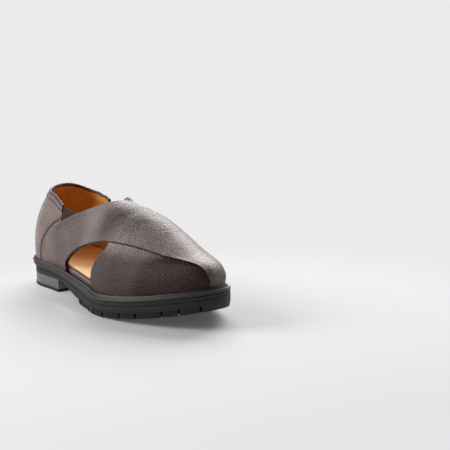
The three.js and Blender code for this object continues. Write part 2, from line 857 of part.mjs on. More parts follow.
function bentSole(x, y, z) {
  const level = (z - levelDish(x, y)) / LEVEL;
  const tread0 = spring(x);
  const floor = outsoleUnder(x);
  const top = outsoleTop(x);
  const height =
    level < 1 ? tread0 + (floor - tread0) * level : floor + (top - floor) * (level - 1);
  return new THREE.Vector3(x, y, height);
}

// The heel: straight prisms under the heel seat, with a straight breast.
function heelOutline(inset) {
  const edges = [
    planPoint({ x: BREAST_X, turn: -90 }, 1, inset),
    planPoint({ x: BREAST_X, turn: 90 }, 1, inset),
  ];
  const round = RAYS.map((ray) => planPoint(ray, 1, inset)).filter((p) => p.x < BREAST_X);
  const turnOf = (p) => Math.atan2(p.y, p.x - HEEL_CENTRE_X);
  return [...round, ...edges].sort((a, b) => turnOf(a) - turnOf(b));
}

function heelPrism(inset, low, high) {
  const shape = new THREE.Shape(heelOutline(inset));
  const made = new THREE.ExtrudeGeometry(shape, {
    depth: high - low,
    bevelEnabled: false,
    steps: 1,
  });
  made.translate(0, 0, low);
  return made;
}

const heelGeometry = heelPrism(HEEL_BLOCK_INSET, TOP_LIFT, HEEL_SEAT - GAP);
const liftGeometry = heelPrism(HEEL_BLOCK_INSET - HEEL_BLOCK_STEP, 0, TOP_LIFT);

// The assembly

function finish(name, color, roughness) {
  return new THREE.MeshStandardMaterial({ name, color, roughness });
}

const LEATHER = finish("leather", 0x4a3a38, 0.55);
const LINING = finish("tan_leather", 0xc98f52, 0.6);
const ELASTIC = finish("elastic", 0x2e2426, 0.9);
const RUBBER = finish("rubber", 0x161616, 0.7);
const WELT = finish("welt", 0x1d1d1e, 0.6);

const part = new THREE.Group();

function closedOf(geometry) {
  return geometryOf(solidOf(geometry), (x, y, z) => new THREE.Vector3(x, y, z));
}

function addPiece(name, geometry, material) {
  const piece = new THREE.Mesh(geometry, material);
  piece.name = name;
  part.add(piece);
}

addPiece("upper", geometryOf(upperFlat, lasted), LEATHER);
addPiece("gore_lateral", geometryOf(goreLateral, lasted), ELASTIC);
addPiece("gore_medial", geometryOf(goreMedial, lasted), ELASTIC);
addPiece("insole", closedOf(insoleGeometry), LINING);
addPiece("footbed", closedOf(footbedGeometry), LEATHER);
addPiece("welt", closedOf(weltGeometry), WELT);
addPiece("midsole", closedOf(midsoleGeometry), RUBBER);
addPiece("outsole", geometryOf(outsoleFlat, bentSole), RUBBER);
addPiece("heel", heelGeometry, RUBBER);
addPiece("top_lift", liftGeometry, RUBBER);

const box = new THREE.Box3().setFromObject(part);
const middle = box.getCenter(new THREE.Vector3());
part.position.set(-middle.x, -middle.y, -box.min.z);

export default part;
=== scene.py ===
import math

import bmesh
import bpy
import numpy as np
from mathutils import Matrix, Vector
from mathutils.geometry import delaunay_2d_cdt


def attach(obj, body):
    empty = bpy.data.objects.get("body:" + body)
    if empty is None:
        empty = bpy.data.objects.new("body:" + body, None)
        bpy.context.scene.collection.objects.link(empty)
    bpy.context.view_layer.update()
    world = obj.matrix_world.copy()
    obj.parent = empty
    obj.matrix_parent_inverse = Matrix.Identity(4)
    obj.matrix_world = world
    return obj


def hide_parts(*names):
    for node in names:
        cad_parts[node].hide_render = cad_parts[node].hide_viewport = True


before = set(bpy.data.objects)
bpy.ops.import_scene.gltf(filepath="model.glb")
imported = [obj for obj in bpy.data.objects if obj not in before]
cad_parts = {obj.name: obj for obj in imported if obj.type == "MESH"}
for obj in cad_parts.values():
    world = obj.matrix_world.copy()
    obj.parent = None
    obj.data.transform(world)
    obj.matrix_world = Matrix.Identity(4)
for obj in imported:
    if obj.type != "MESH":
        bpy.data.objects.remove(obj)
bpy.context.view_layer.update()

# Sizes in millimetres: x to the toe, y to the medial side, z up. They are those of the solids, apart from
# the back of the collar and the corner of the throat, which are drawn closer to the photo here.
plan = {"length": 300.0, "ball": 54.0, "heel": 36.0, "heelX": -112.0, "ballX": 45.0, "toeX": 149.0,
        "lateralPoint": 0.25, "medialPoint": 0.03}
heelReach = plan["length"] - (plan["toeX"] - plan["heelX"])
toeReach = plan["toeX"] - plan["ballX"]
stack = {"lift": 3.0, "block": 10.8, "forefoot": 11.5, "seat": 4.4, "midsole": 3.4,
         "welt": 3.2, "weltHeel": 4.6, "rim": 2.6, "bed": 6.2, "insole": 2.4, "gap": 0.3}
halfPattern = 90.0
ankleRise = 105.0
shift = np.array([1.0, 2.088, 0.0])
toeSpring = {"rise": 19.1, "from": 17.3, "run": 131.7, "power": 1.8}
heelPitch = {"from": -125.0, "run": 170.0}
lastForm = {"steepRun": 75.0, "steep": 0.35, "bulge": 0.06, "toeFull": 0.45, "lean": 20.0, "leanHigh": 68.0,
            "leanMost": 1.6, "leanPower": 2.5, "leanX": -120.0, "leanRun": 70.0}
throatTip = {"x": 4.0, "across": 0.2, "spread": 6.8, "lift": 7.0}


def smooth(t):
    c = np.clip(t, 0.0, 1.0)
    return c * c * (3.0 - 2.0 * c)


def through(rows, runOn=False):
    xs, ys = np.array([r[0] for r in rows], float), np.array([r[1] for r in rows], float)
    slopes = np.zeros_like(ys)
    slopes[1:-1] = (ys[2:] - ys[:-2]) / (xs[2:] - xs[:-2])
    if runOn:
        slopes[0] = (ys[1] - ys[0]) / (xs[1] - xs[0])
        slopes[-1] = (ys[-1] - ys[-2]) / (xs[-1] - xs[-2])

    def value(x):
        x = np.clip(x, xs[0], xs[-1])
        i = np.clip(np.searchsorted(xs, x, side="right") - 1, 0, len(xs) - 2)
        h = xs[i + 1] - xs[i]
        t = (x - xs[i]) / h
        s = 1.0 - t
        return (ys[i] * (1 + 2 * t) * s * s + slopes[i] * h * t * s * s
                + ys[i + 1] * t * t * (3 - 2 * t) - slopes[i + 1] * h * t * t * s)

    return value


widthShare = through([(-112, 36 / 54), (-79, 0.655), (-40, 0.657), (0, 0.803), (25, 0.95), (45, 1.0)])
swingShare = through([(-112, 0), (-79, -0.013), (-40, -0.104), (0, -0.115), (35, -0.065), (62, -0.01),
                      (100, 0.04), (149, 0.05)])
insetAt = through([(-152, 2.8), (-100, 3.0), (-50, 3.6), (20, 6.0), (110, 6.0), (149, 5.4)])
ridgeShare = through([(-112, 1.0), (-60, 0.95), (-20, 0.81), (10, 0.79), (30, 0.768), (45, 0.728)])
toeOut = [0.0, 0.2, 0.4, 0.6, 0.8, 0.92, 1.0]
toeRun = through(list(zip(toeOut, [0, 0.24, 0.47, 0.7, 0.92, 0.993, 1.0])), True)
toeRise = through(list(zip(toeOut, [1, 0.86, 0.66, 0.455, 0.295, 0.155, 0])), True)


def swing(x):
    return swingShare(x) * plan["ball"]


def spring(x):
    share = (x - toeSpring["from"]) / toeSpring["run"]
    return toeSpring["rise"] * np.clip(share, 0, None) ** toeSpring["power"]


def pitch(x):
    return 1.0 - smooth((x - heelPitch["from"]) / heelPitch["run"])


heelSeat = stack["lift"] + stack["block"]


def outsoleTop(x):
    return stack["forefoot"] + (heelSeat + stack["seat"] - stack["forefoot"]) * pitch(x) + spring(x)


def midsoleTop(x):
    return outsoleTop(x) + stack["gap"] + stack["midsole"]


def weltTop(x):
    return midsoleTop(x) + stack["gap"] + stack["welt"] + (stack["weltHeel"] - stack["welt"]) * pitch(x)


def feather(x):
    return weltTop(x) + stack["gap"]


def edgeOf(foot, co, si, inset):
    point = np.where(si < 0, plan["lateralPoint"], plan["medialPoint"])
    toe, heel = co > 0, co < 0
    dx = np.where(toe, (toeReach - inset) * co, np.where(heel, (heelReach - inset) * co, 0.0))
    dy = np.where(toe, (plan["ball"] - inset) * si * (1 - point * co * co),
                  np.where(heel, (plan["heel"] - inset) * si,
                           (widthShare(foot) * plan["ball"] - inset) * np.sign(si)))
    return dx, dy


# A point of the flat pattern on the form: x along, y across from the ridge to the feather.
def formPoint(x, y):
    x, y = np.asarray(x, float), np.asarray(y, float)
    across = y / halfPattern
    toe, heel = x > plan["ballX"], x < plan["heelX"]
    u = np.where(toe, (x - plan["ballX"]) / toeReach, np.where(heel, (x - plan["heelX"]) / heelReach, 0))
    far = np.hypot(u, across)
    safe = np.where(far < 1e-9, 1.0, far)
    co = np.where(far < 1e-9, 0.0, u / safe)
    si = np.where(far < 1e-9, 1.0, across / safe)
    out = np.minimum(1.0, far)
    angle = out * math.pi / 2
    tall = smooth(-x / lastForm["steepRun"])
    bulge = lastForm["bulge"] * np.sin(2 * angle) * 2 * np.clip(2 * out - 1, 0, 1)
    sine = np.sin(angle)
    reach = (1 - tall) * sine + tall * (sine ** lastForm["steep"] + bulge)
    rise = np.cos(angle)
    mix = np.where(toe, np.clip(co, 0, 1) ** (1 - lastForm["toeFull"] * out), 0.0)
    reach = reach + mix * (toeRun(out) - reach)
    rise = rise + mix * (toeRise(out) - rise)
    foot = np.clip(x, plan["heelX"], plan["ballX"])
    rim = foot + np.where(toe, toeReach * co, 0) + np.where(heel, heelReach * co, 0)
    dx, dy = edgeOf(foot, np.where(toe | heel, co, 0.0), si, insetAt(rim))
    px = foot + dx * reach
    height = ridgeShare(foot) * ankleRise * rise
    high = np.clip(height / lastForm["leanHigh"], 0, lastForm["leanMost"])
    lean = lastForm["lean"] * high ** lastForm["leanPower"]
    away = np.hypot(x - throatTip["x"], y - throatTip["across"] * halfPattern) / throatTip["spread"]
    return np.stack([px + lean * (1 - smooth((px - lastForm["leanX"]) / lastForm["leanRun"])),
                     swing(px) + dy * reach,
                     feather(px) + height + throatTip["lift"] * np.exp(-away * away)], -1)


def unit(rows):
    return rows / (np.linalg.norm(rows, axis=-1, keepdims=True) + 1e-12)


def formNormal(x, y, step=0.25):
    along = formPoint(x + step, y) - formPoint(x - step, y)
    across = formPoint(x, y + step) - formPoint(x, y - step)
    return unit(np.cross(along, across))


def lasted(points, lift):
    x, y = points[:, 0], points[:, 1]
    return formPoint(x, y) + formNormal(x, y) * np.asarray(lift, float).reshape(-1, 1)


def placed(points):
    return (np.asarray(points, float) + shift) / 1000.0


# Materials: all on object coordinates, with one group of nodes for the shared grain
grainLook = {"warpScale": 160.0, "warp": 0.0006, "soft": 0.3, "fineScale": 1500.0, "fineShare": 0.15,
             "mottleScale": 38.0}


def socketOf(tree, name, kind, value):
    item = tree.interface.new_socket(name=name, in_out="INPUT", socket_type=kind)
    item.default_value = value
    return item


def grainGroup():
    tree = bpy.data.node_groups.new("leather grain", "ShaderNodeTree")
    socketOf(tree, "Scale", "NodeSocketFloat", 620.0)
    tree.interface.new_socket(name="Pebble", in_out="OUTPUT", socket_type="NodeSocketFloat")
    tree.interface.new_socket(name="Mottle", in_out="OUTPUT", socket_type="NodeSocketFloat")
    nodes, links = tree.nodes, tree.links
    start, end = nodes.new("NodeGroupInput"), nodes.new("NodeGroupOutput")
    coords = nodes.new("ShaderNodeTexCoord")
    warp = nodes.new("ShaderNodeTexNoise")
    warp.inputs["Scale"].default_value = grainLook["warpScale"]
    warp.inputs["Detail"].default_value = 2.0
    add = nodes.new("ShaderNodeVectorMath")
    add.operation = "MULTIPLY_ADD"
    add.inputs[1].default_value = (grainLook["warp"],) * 3
    cells = nodes.new("ShaderNodeTexVoronoi")
    cells.feature = "SMOOTH_F1"
    cells.inputs["Smoothness"].default_value = grainLook["soft"]
    fine = nodes.new("ShaderNodeTexNoise")
    fine.inputs["Scale"].default_value = grainLook["fineScale"]
    fine.inputs["Detail"].default_value = 3.0
    blend = nodes.new("ShaderNodeMath")
    blend.operation = "MULTIPLY_ADD"
    blend.inputs[1].default_value = grainLook["fineShare"]
    mottle = nodes.new("ShaderNodeTexNoise")
    mottle.inputs["Scale"].default_value = grainLook["mottleScale"]
    mottle.inputs["Detail"].default_value = 5.0
    links.new(coords.outputs["Object"], warp.inputs["Vector"])
    links.new(warp.outputs["Color"], add.inputs[0])
    links.new(coords.outputs["Object"], add.inputs[2])
    links.new(add.outputs["Vector"], cells.inputs["Vector"])
    links.new(start.outputs["Scale"], cells.inputs["Scale"])
    links.new(coords.outputs["Object"], fine.inputs["Vector"])
    links.new(fine.outputs["Fac"], blend.inputs[0])
    links.new(cells.outputs["Distance"], blend.inputs[2])
    links.new(coords.outputs["Object"], mottle.inputs["Vector"])
    links.new(blend.outputs["Value"], end.inputs["Pebble"])
    links.new(mottle.outputs["Fac"], end.inputs["Mottle"])
    return tree


def ranged(tree, source, low, high, target):
    made = tree.nodes.new("ShaderNodeMapRange")
    made.inputs["To Min"].default_value = low
    made.inputs["To Max"].default_value = high
    tree.links.new(source, made.inputs["Value"])
    tree.links.new(made.outputs["Result"], target)
    return made


def bumped(tree, source, strength, deep):
    made = tree.nodes.new("ShaderNodeBump")
    made.inputs["Strength"].default_value = strength
    made.inputs["Distance"].default_value = deep
    tree.links.new(source, made.inputs["Height"])
    tree.links.new(made.outputs["Normal"], tree.nodes["Principled BSDF"].inputs["Normal"])


# Each cell of the grain is paler in its middle. Where the attribute for edge paint and painted shade is 1,
# the leather
# takes its dark tone and is less glossy: dark paint on the cut edges, and painted shade where a sheet's
# darkening mask adds to it.
finish = {"pebble": -0.7, "paleAt": 0.4, "roughLess": 0.05, "roughMore": 0.07, "deep": 0.0007,
          "specular": 0.5, "paintSpecular": 0.2, "paintCoat": 0.25, "coatRough": 0.4}


def leatherMaterial(row):
    made = bpy.data.materials.new(row["name"])
    made.use_nodes = True
    tree = made.node_tree
    nodes, links = tree.nodes, tree.links
    shader = nodes["Principled BSDF"]
    skin = nodes.new("ShaderNodeGroup")
    skin.node_tree = grain
    skin.inputs["Scale"].default_value = row["scale"]
    tint = nodes.new("ShaderNodeValToRGB")
    tint.color_ramp.elements[0].color = (*row["dark"], 1)
    tint.color_ramp.elements[1].color = (*row["light"], 1)
    tint.color_ramp.elements[1].position = finish["paleAt"]
    worn = nodes.new("ShaderNodeMath")
    worn.operation = "MULTIPLY_ADD"
    worn.inputs[1].default_value = finish["pebble"]
    edgePaintAndShade = nodes.new("ShaderNodeAttribute")
    edgePaintAndShade.attribute_name = "edgePaintAndShade"
    mix = nodes.new("ShaderNodeMix")
    mix.data_type = "RGBA"
    mix.inputs["B"].default_value = (*row["paint"], 1)
    shader.inputs["Coat Roughness"].default_value = finish["coatRough"]
    links.new(skin.outputs["Pebble"], worn.inputs[0])
    links.new(skin.outputs["Mottle"], worn.inputs[2])
    links.new(worn.outputs["Value"], tint.inputs["Fac"])
    links.new(tint.outputs["Color"], mix.inputs["A"])
    links.new(edgePaintAndShade.outputs["Fac"], mix.inputs["Factor"])
    links.new(mix.outputs["Result"], shader.inputs["Base Color"])
    bumped(tree, skin.outputs["Pebble"], row["bump"], finish["deep"])
    ranged(tree, skin.outputs["Mottle"], row["rough"] - finish["roughLess"],
           row["rough"] + finish["roughMore"], shader.inputs["Roughness"])
    ranged(tree, edgePaintAndShade.outputs["Fac"], finish["specular"], finish["paintSpecular"],
           shader.inputs["Specular IOR Level"])
    ranged(tree, edgePaintAndShade.outputs["Fac"], row["coat"], row["coat"] * finish["paintCoat"],
           shader.inputs["Coat Weight"])
    return made


grit = {"scale": 400.0, "detail": 6.0, "deep": 0.0003}


def plainMaterial(name, colour, rough, bump=0.0):
    made = bpy.data.materials.new(name)
    made.use_nodes = True
    tree = made.node_tree
    shader = tree.nodes["Principled BSDF"]
    shader.inputs["Base Color"].default_value = (*colour, 1)
    shader.inputs["Roughness"].default_value = rough
    if bump:
        coords, noise = tree.nodes.new("ShaderNodeTexCoord"), tree.nodes.new("ShaderNodeTexNoise")
        noise.inputs["Scale"].default_value = grit["scale"]
        noise.inputs["Detail"].default_value = grit["detail"]
        tree.links.new(coords.outputs["Object"], noise.inputs["Vector"])
        bumped(tree, noise.outputs["Fac"], bump, grit["deep"])
    return made


elastic = {"colour": (0.042, 0.014, 0.012), "rough": 0.85, "scale": 260.0, "bump": 0.8, "deep": 0.0006}


def elasticMaterial(name):
    made = plainMaterial(name, elastic["colour"], elastic["rough"])
    tree = made.node_tree
    coords, cords = tree.nodes.new("ShaderNodeTexCoord"), tree.nodes.new("ShaderNodeTexWave")
    cords.bands_direction = "X"
    cords.inputs["Scale"].default_value = elastic["scale"]
    tree.links.new(coords.outputs["Object"], cords.inputs["Vector"])
    bumped(tree, cords.outputs["Fac"], elastic["bump"], elastic["deep"])
    return made


grain = grainGroup()
# The brown leather's pale base tones are raised as a painted sheen; its dark "paint" tone serves both as
# dark edge paint and as painted shade.
leathers = {
    "upper": {"name": "brown leather", "dark": (0.15, 0.103, 0.092), "light": (0.31, 0.23, 0.212),
              "paint": (0.02, 0.006, 0.004), "rough": 0.4, "scale": 800.0, "bump": 0.85, "coat": 0.25},
    "lining": {"name": "tan lining", "dark": (0.68, 0.29, 0.04), "light": (0.84, 0.4, 0.07),
               "paint": (0.2, 0.09, 0.03), "rough": 0.5, "scale": 900.0, "bump": 0.15, "coat": 0.1},
    "insole": {"name": "tan insole", "dark": (0.9, 0.6, 0.27), "light": (0.98, 0.72, 0.35),
               "paint": (0.3, 0.14, 0.05), "rough": 0.5, "scale": 900.0, "bump": 0.15, "coat": 0.1},
}
looks = {key: leatherMaterial(row) for key, row in leathers.items()}
looks["elastic"] = elasticMaterial("gore elastic")
for key, name, colour, rough, bump in [
    ("rubber", "black rubber", (0.006, 0.006, 0.0058), 0.68, 0.25),
    ("heel", "heel rubber", (0.125, 0.123, 0.117), 0.45, 0.15),
    ("welt", "welt rubber", (0.01, 0.01, 0.01), 0.5, 0.2),
    # The wheeled ribs' grey is a painted highlight where the welt's top catches light.
    ("weltTop", "welt ribs with painted highlight", (0.12, 0.118, 0.11), 0.42, 0.2),
    ("thread", "dark thread", (0.03, 0.022, 0.02), 0.6, 0.0),
    ("tanThread", "tan thread", (0.42, 0.2, 0.07), 0.6, 0.0),
    ("edgeThread", "border thread", (0.025, 0.012, 0.008), 0.6, 0.0),
]:
    looks[key] = plainMaterial(name, colour, rough, bump)
print("scene: materials made")


def added(name, data):
    made = bpy.data.objects.new(name, data)
    bpy.context.scene.collection.objects.link(made)
    return made


def softened(data, angle):
    data.shade_smooth()
    data.set_sharp_from_angle(angle=math.radians(angle))


def meshPiece(name, points, faces, material, edgePaintAndShade=None):
    data = bpy.data.meshes.new(name)
    data.from_pydata([tuple(p) for p in points], [], [tuple(f) for f in faces])
    data.materials.append(material)
    if edgePaintAndShade is not None:
        layer = data.attributes.new("edgePaintAndShade", "FLOAT", "POINT")
        layer.data.foreach_set("value", np.asarray(edgePaintAndShade, np.float32))
    data.shade_smooth()
    return added(name, data)


def settle(piece, nodes):
    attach(piece, "root")
    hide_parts(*nodes)


# Lines of the flat pattern
def resampled(points, step, closed=False):
    points = np.asarray(points, float)
    if closed:
        points = np.vstack([points, points[:1]])
    seg = np.linalg.norm(np.diff(points, axis=0), axis=1)
    run = np.concatenate([[0], np.cumsum(seg)])
    count = max(2, int(round(run[-1] / step)))
    at = np.linspace(0, run[-1], count + 1)
    made = np.stack([np.interp(at, run, points[:, k]) for k in range(points.shape[1])], 1)
    return made[:-1] if closed else made


def drawn(rows, step=1.2, between=12):
    pts = np.array([(r[0], r[1] * halfPattern) for r in rows], float)
    padded = np.vstack([2 * pts[0] - pts[1], pts, 2 * pts[-1] - pts[-2]])
    made = []
    for i in range(1, len(padded) - 2):
        p0, p1, p2, p3 = padded[i - 1:i + 3]
        t0 = 0.0
        t1 = t0 + np.linalg.norm(p1 - p0) ** 0.5
        t2 = t1 + np.linalg.norm(p2 - p1) ** 0.5
        t3 = t2 + np.linalg.norm(p3 - p2) ** 0.5
        for t in np.linspace(t1, t2, between, endpoint=False):
            a1 = (t1 - t) / (t1 - t0) * p0 + (t - t0) / (t1 - t0) * p1
            a2 = (t2 - t) / (t2 - t1) * p1 + (t - t1) / (t2 - t1) * p2
            a3 = (t3 - t) / (t3 - t2) * p2 + (t - t2) / (t3 - t2) * p3
            b1 = (t2 - t) / (t2 - t0) * a1 + (t - t0) / (t2 - t0) * a2
            b2 = (t3 - t) / (t3 - t1) * a2 + (t - t1) / (t3 - t1) * a3
            made.append((t2 - t) / (t2 - t1) * b1 + (t - t1) / (t2 - t1) * b2)
    made.append(pts[-1])
    return resampled(made, step)


def mirrored(points):
    return np.asarray(points) * np.array([1.0, -1.0])


def crossing(first, second):
    for i in range(len(first) - 1):
        r = first[i + 1] - first[i]
        s = second[1:] - second[:-1]
        w = second[:-1] - first[i]
        den = r[0] * s[:, 1] - r[1] * s[:, 0]
        den = np.where(np.abs(den) < 1e-12, 1e-12, den)
        t = (w[:, 0] * s[:, 1] - w[:, 1] * s[:, 0]) / den
        u = (w[:, 0] * r[1] - w[:, 1] * r[0]) / den
        hit = np.nonzero((t >= 0) & (t <= 1) & (u >= 0) & (u <= 1))[0]
        if len(hit):
            return i, first[i] + r * t[hit[0]]
    raise ValueError("the two lines do not cross")


def splitAt(first, second):
    i, at = crossing(first, second)
    return np.vstack([first[:i + 1], at]), np.vstack([at, first[i + 1:]])


strap = {
    "back": [(-109, -1.06), (-108, -0.953), (-105, -0.88), (-93, -0.773), (-71, -0.679), (-53, -0.594),
             (-38, -0.494), (-26, -0.394), (-10, -0.24), (1, -0.13), (9, 0.02), (15, 0.19), (27, 0.43),
             (34, 0.565), (24, 0.692), (14, 0.781), (8, 0.862), (8, 0.94), (12, 1.06)],
    "front": [(-55, -1.06), (-56, -0.99), (-53, -0.93), (-40, -0.839), (-20, -0.727), (9, -0.625),
              (33, -0.557), (50, -0.526), (69, -0.487), (89, -0.426), (109, -0.302), (123, -0.198),
              (133, -0.15), (144, -0.115), (155, -0.08)],
    "step": 1.5, "pareStart": 0.925, "pareRun": 0.06, "under": 0.03,
}
collar = {
    "lateral": [(-67, -0.534), (-77, -0.531), (-87, -0.523), (-100, -0.507), (-112, -0.487)],
    "medial": [(-67, -0.534), (-85, -0.538), (-100, -0.543), (-112, -0.532)],
    "back": 0.44, "band": 0.05, "bandStep": 0.7, "bandUnder": 0.02, "points": 60,
}
gore = {"backX": -67.0, "tipX": -38.5, "top": -0.534, "low": -0.663, "face": -0.5, "back": -1.5}
beyond = {"x": 90.0, "toeX": 200.0, "across": 108.0}  # past the rim, where an outline may close
backEdge, frontEdge = drawn(strap["back"]), drawn(strap["front"])
backMirror = mirrored(backEdge)
cutTop = splitAt(frontEdge, backMirror)[0]
cutFront = splitAt(backMirror, frontEdge)[1]
lateralCut = np.vstack([cutTop, cutFront[1:]])
medialCut = mirrored(lateralCut)
middle = np.array([(gore["tipX"], 0.0), (plan["ballX"], 0.0)])
ridgeLine = splitAt(backEdge, middle)[0]
vee = int(np.nonzero(ridgeLine[:, 0] > gore["tipX"])[0][0])
strapTop = ridgeLine[vee:]


def collarLine(depth):
    side = drawn([(x, o - depth) for x, o in collar["lateral"]])
    other = drawn([(x, o - depth) for x, o in collar["medial"]])
    turn = np.linspace(0, 1, collar["points"])[1:-1]
    a = math.pi * (0.5 + turn)
    rise = np.cos(a) ** 2
    start = np.where(turn < 0.5, collar["lateral"][-1][1], collar["medial"][-1][1])
    share = depth - start * (1 - rise) + collar["back"] * rise
    back = np.stack([plan["heelX"] + heelReach * share * np.cos(a), -halfPattern * share * np.sin(a)], 1)
    return np.vstack([side, back, mirrored(other)[::-1]])


collarTop = collarLine(0.0)
throat = np.vstack([strapTop[::-1], collarTop, mirrored(strapTop)[:-1]])
goreRun = backEdge[(backEdge[:, 0] > gore["backX"]) & (backEdge[:, 0] < gore["tipX"])]
goreBack = [(gore["backX"], gore["top"] * halfPattern), (gore["backX"], gore["low"] * halfPattern)]
goreWindow = np.vstack([goreBack, goreRun, strapTop[:1]])
rimPoints = {"toe": 121, "heel": 91}
turnToe = np.linspace(-math.pi / 2, math.pi / 2, rimPoints["toe"])
turnHeel = np.linspace(math.pi / 2, 1.5 * math.pi, rimPoints["heel"])
rimLine = np.vstack([
    np.stack([plan["ballX"] + toeReach * np.cos(turnToe), halfPattern * np.sin(turnToe)], 1),
    np.stack([plan["heelX"] + heelReach * np.cos(turnHeel), halfPattern * np.sin(turnHeel)], 1),
])
strapOutline = np.vstack([
    backEdge, [(beyond["x"], beyond["across"]), (beyond["toeX"], beyond["across"])],
    [(beyond["toeX"], frontEdge[-1][1])], frontEdge[::-1], [(-beyond["x"], -beyond["across"])],
])
underOutline = mirrored(strapOutline)


def within(points, outline):
    x, y = points[:, 0], points[:, 1]
    inside = np.zeros(len(points), bool)
    j = len(outline) - 1
    for i in range(len(outline)):
        xi, yi = outline[i]
        xj, yj = outline[j]
        if yi != yj:
            inside ^= ((yi > y) != (yj > y)) & (x < (xj - xi) * (y - yi) / (yj - yi) + xi)
        j = i
    return inside


def distanceTo(points, starts, ends, chunk=1500):
    best = np.full(len(points), 1e9)
    run = ends - starts
    size = (run ** 2).sum(1) + 1e-12
    for at in range(0, len(points), chunk):
        p = points[at:at + chunk, None, :]
        t = np.clip(((p - starts) * run).sum(2) / size, 0, 1)
        best[at:at + chunk] = np.sqrt(((p - (starts + run * t[..., None])) ** 2).sum(2)).min(1)
    return best


# A sheet's points lie along its lines, in rows beside them for the rounded edges, and on a grid in between.
sheetMesh = {"step": 1.7, "rows": (0.18, 0.45, 0.9, 1.7), "rowClear": 0.85, "gridClear": 2.9,
             "rowShare": 0.866, "paintStart": 1.3, "innerPaint": 0.5, "innerStart": 1.2, "sharp": 50}


# A sheet of leather cut from the flat pattern and drawn over the form, with rounded edges
def sheetPiece(name, lines, keep, top, bottom, material, pitchOf=3.0, roundOver=0.7, paintAndShadowWide=0.6,
               paintAndShade=None, bare=None):
    points, edges, starts, ends = [], [], [], []
    rows = []
    for line, closed in lines:
        pts = resampled(line, sheetMesh["step"], closed)
        first = sum(len(p) for p in points)
        n = len(pts)
        pairs = [(i, (i + 1) % n) for i in range(n if closed else n - 1)]
        edges += [(first + a, first + b) for a, b in pairs]
        starts.append(np.array([pts[a] for a, b in pairs]))
        ends.append(np.array([pts[b] for a, b in pairs]))
        points.append(pts)
        tangent = unit(np.gradient(pts, axis=0))
        side = np.stack([-tangent[:, 1], tangent[:, 0]], 1)
        for away in sheetMesh["rows"]:
            rows += [(pts + side * away, away), (pts - side * away, away)]
    a, b = np.vstack(starts), np.vstack(ends)
    extra = []
    for pts, away in rows:
        pts = pts[within(pts, rimLine)]
        extra.append(pts[distanceTo(pts, a, b) > away * sheetMesh["rowClear"]])
    low, high = rimLine.min(0), rimLine.max(0)
    gx = np.arange(low[0], high[0], pitchOf)
    gy = np.arange(low[1], high[1], pitchOf * sheetMesh["rowShare"])
    grid = np.array([(x + (pitchOf / 2 if k % 2 else 0), y) for k, y in enumerate(gy) for x in gx])
    grid = grid[keep(grid)]
    grid = grid[distanceTo(grid, a, b) > sheetMesh["gridClear"]]
    cloud = np.vstack(points + extra + [grid])
    found = delaunay_2d_cdt([Vector(p) for p in cloud], edges, [], 0, 1e-4)
    flat = np.array([tuple(v) for v in found[0]])
    faces = np.array([f for f in found[2] if len(f) == 3])
    faces = faces[keep(flat[faces].mean(1))]
    used, faces = np.unique(faces.reshape(-1), return_inverse=True)
    faces = faces.reshape(-1, 3)
    flat = flat[used]
    half = dict.fromkeys((f[i], f[(i + 1) % 3]) for f in faces.tolist() for i in range(3))
    border = [(i, j) for i, j in half if (j, i) not in half]
    rim = distanceTo(flat, flat[[i for i, j in border]], flat[[j for i, j in border]])
    depth = roundOver * (1 - np.sqrt(np.clip(1 - (1 - np.clip(rim / roundOver, 0, 1)) ** 2, 0, 1)))
    n = len(flat)
    upperSide = lasted(flat, top(flat, rim) - depth)
    lowerSide = lasted(flat, bottom(flat))
    quads = [(i + n, j + n, j, i) for i, j in border]
    allFaces = faces.tolist() + (faces[:, ::-1] + n).tolist() + quads
    paint = np.clip(sheetMesh["paintStart"] - rim / paintAndShadowWide, 0, 1)
    if bare is not None:
        paint = paint * (1 - bare(flat))
    # Painted shade: a sheet's darkening mask deepens the dark tone beyond its edge paint.
    if paintAndShade is not None:
        paint = np.maximum(paint, paintAndShade(flat))
    innerPaint = np.clip(sheetMesh["innerStart"] - rim / sheetMesh["innerPaint"], 0, 1)
    piece = meshPiece(name, placed(np.vstack([upperSide, lowerSide])), allFaces, material,
                      np.concatenate([paint, innerPaint]))
    softened(piece.data, sheetMesh["sharp"])
    return piece


def level(value):
    return lambda p, d=None: np.full(len(p), value)


# How far out a place of the pattern lies: 0 on the ridge, 1 at the feather
def outwardOf(p):
    u = np.where(p[:, 0] > plan["ballX"], (p[:, 0] - plan["ballX"]) / toeReach,
                 np.where(p[:, 0] < plan["heelX"], (p[:, 0] - plan["heelX"]) / heelReach, 0))
    return np.hypot(u, p[:, 1] / halfPattern)


def paredStep(p):
    return strap["step"] * (1 - smooth((outwardOf(p) - strap["pareStart"]) / strap["pareRun"]))


# Creases, listed one by one: place in the pattern, length, direction in degrees, depth and width
creases = [
    ((-88, -60), 11, 24, 0.35, 1.1),
    ((-84, -66), 12, 20, 0.4, 1.2),
    ((-92, -69), 9, 31, 0.25, 1.0),
    ((-80, -57), 8, 12, 0.25, 1.0),
    ((-96, -62), 7, 40, 0.2, 0.9),
    ((-86, 62), 12, -22, 0.35, 1.2),
    ((-90, 68), 9, -30, 0.3, 1.0),
    ((30, -28), 14, 70, 0.25, 2.4),
    ((58, -18), 16, 62, 0.2, 2.8),
    ((52, -66), 10, 80, 0.2, 2.2),
    ((44, 60), 12, -75, 0.22, 2.2),
]
creaseGain, creaseBend = 1.7, 0.02


def creased(p):
    total = np.zeros(len(p))
    for at, long, turn, deep, wide in creases:
        a = math.radians(turn)
        d = p - np.array(at, float)
        along = d[:, 0] * math.cos(a) + d[:, 1] * math.sin(a)
        across = -d[:, 0] * math.sin(a) + d[:, 1] * math.cos(a) + creaseBend * along ** 2
        total -= creaseGain * deep * np.exp(-(across / wide) ** 2 - (along / long) ** 2)
    return total


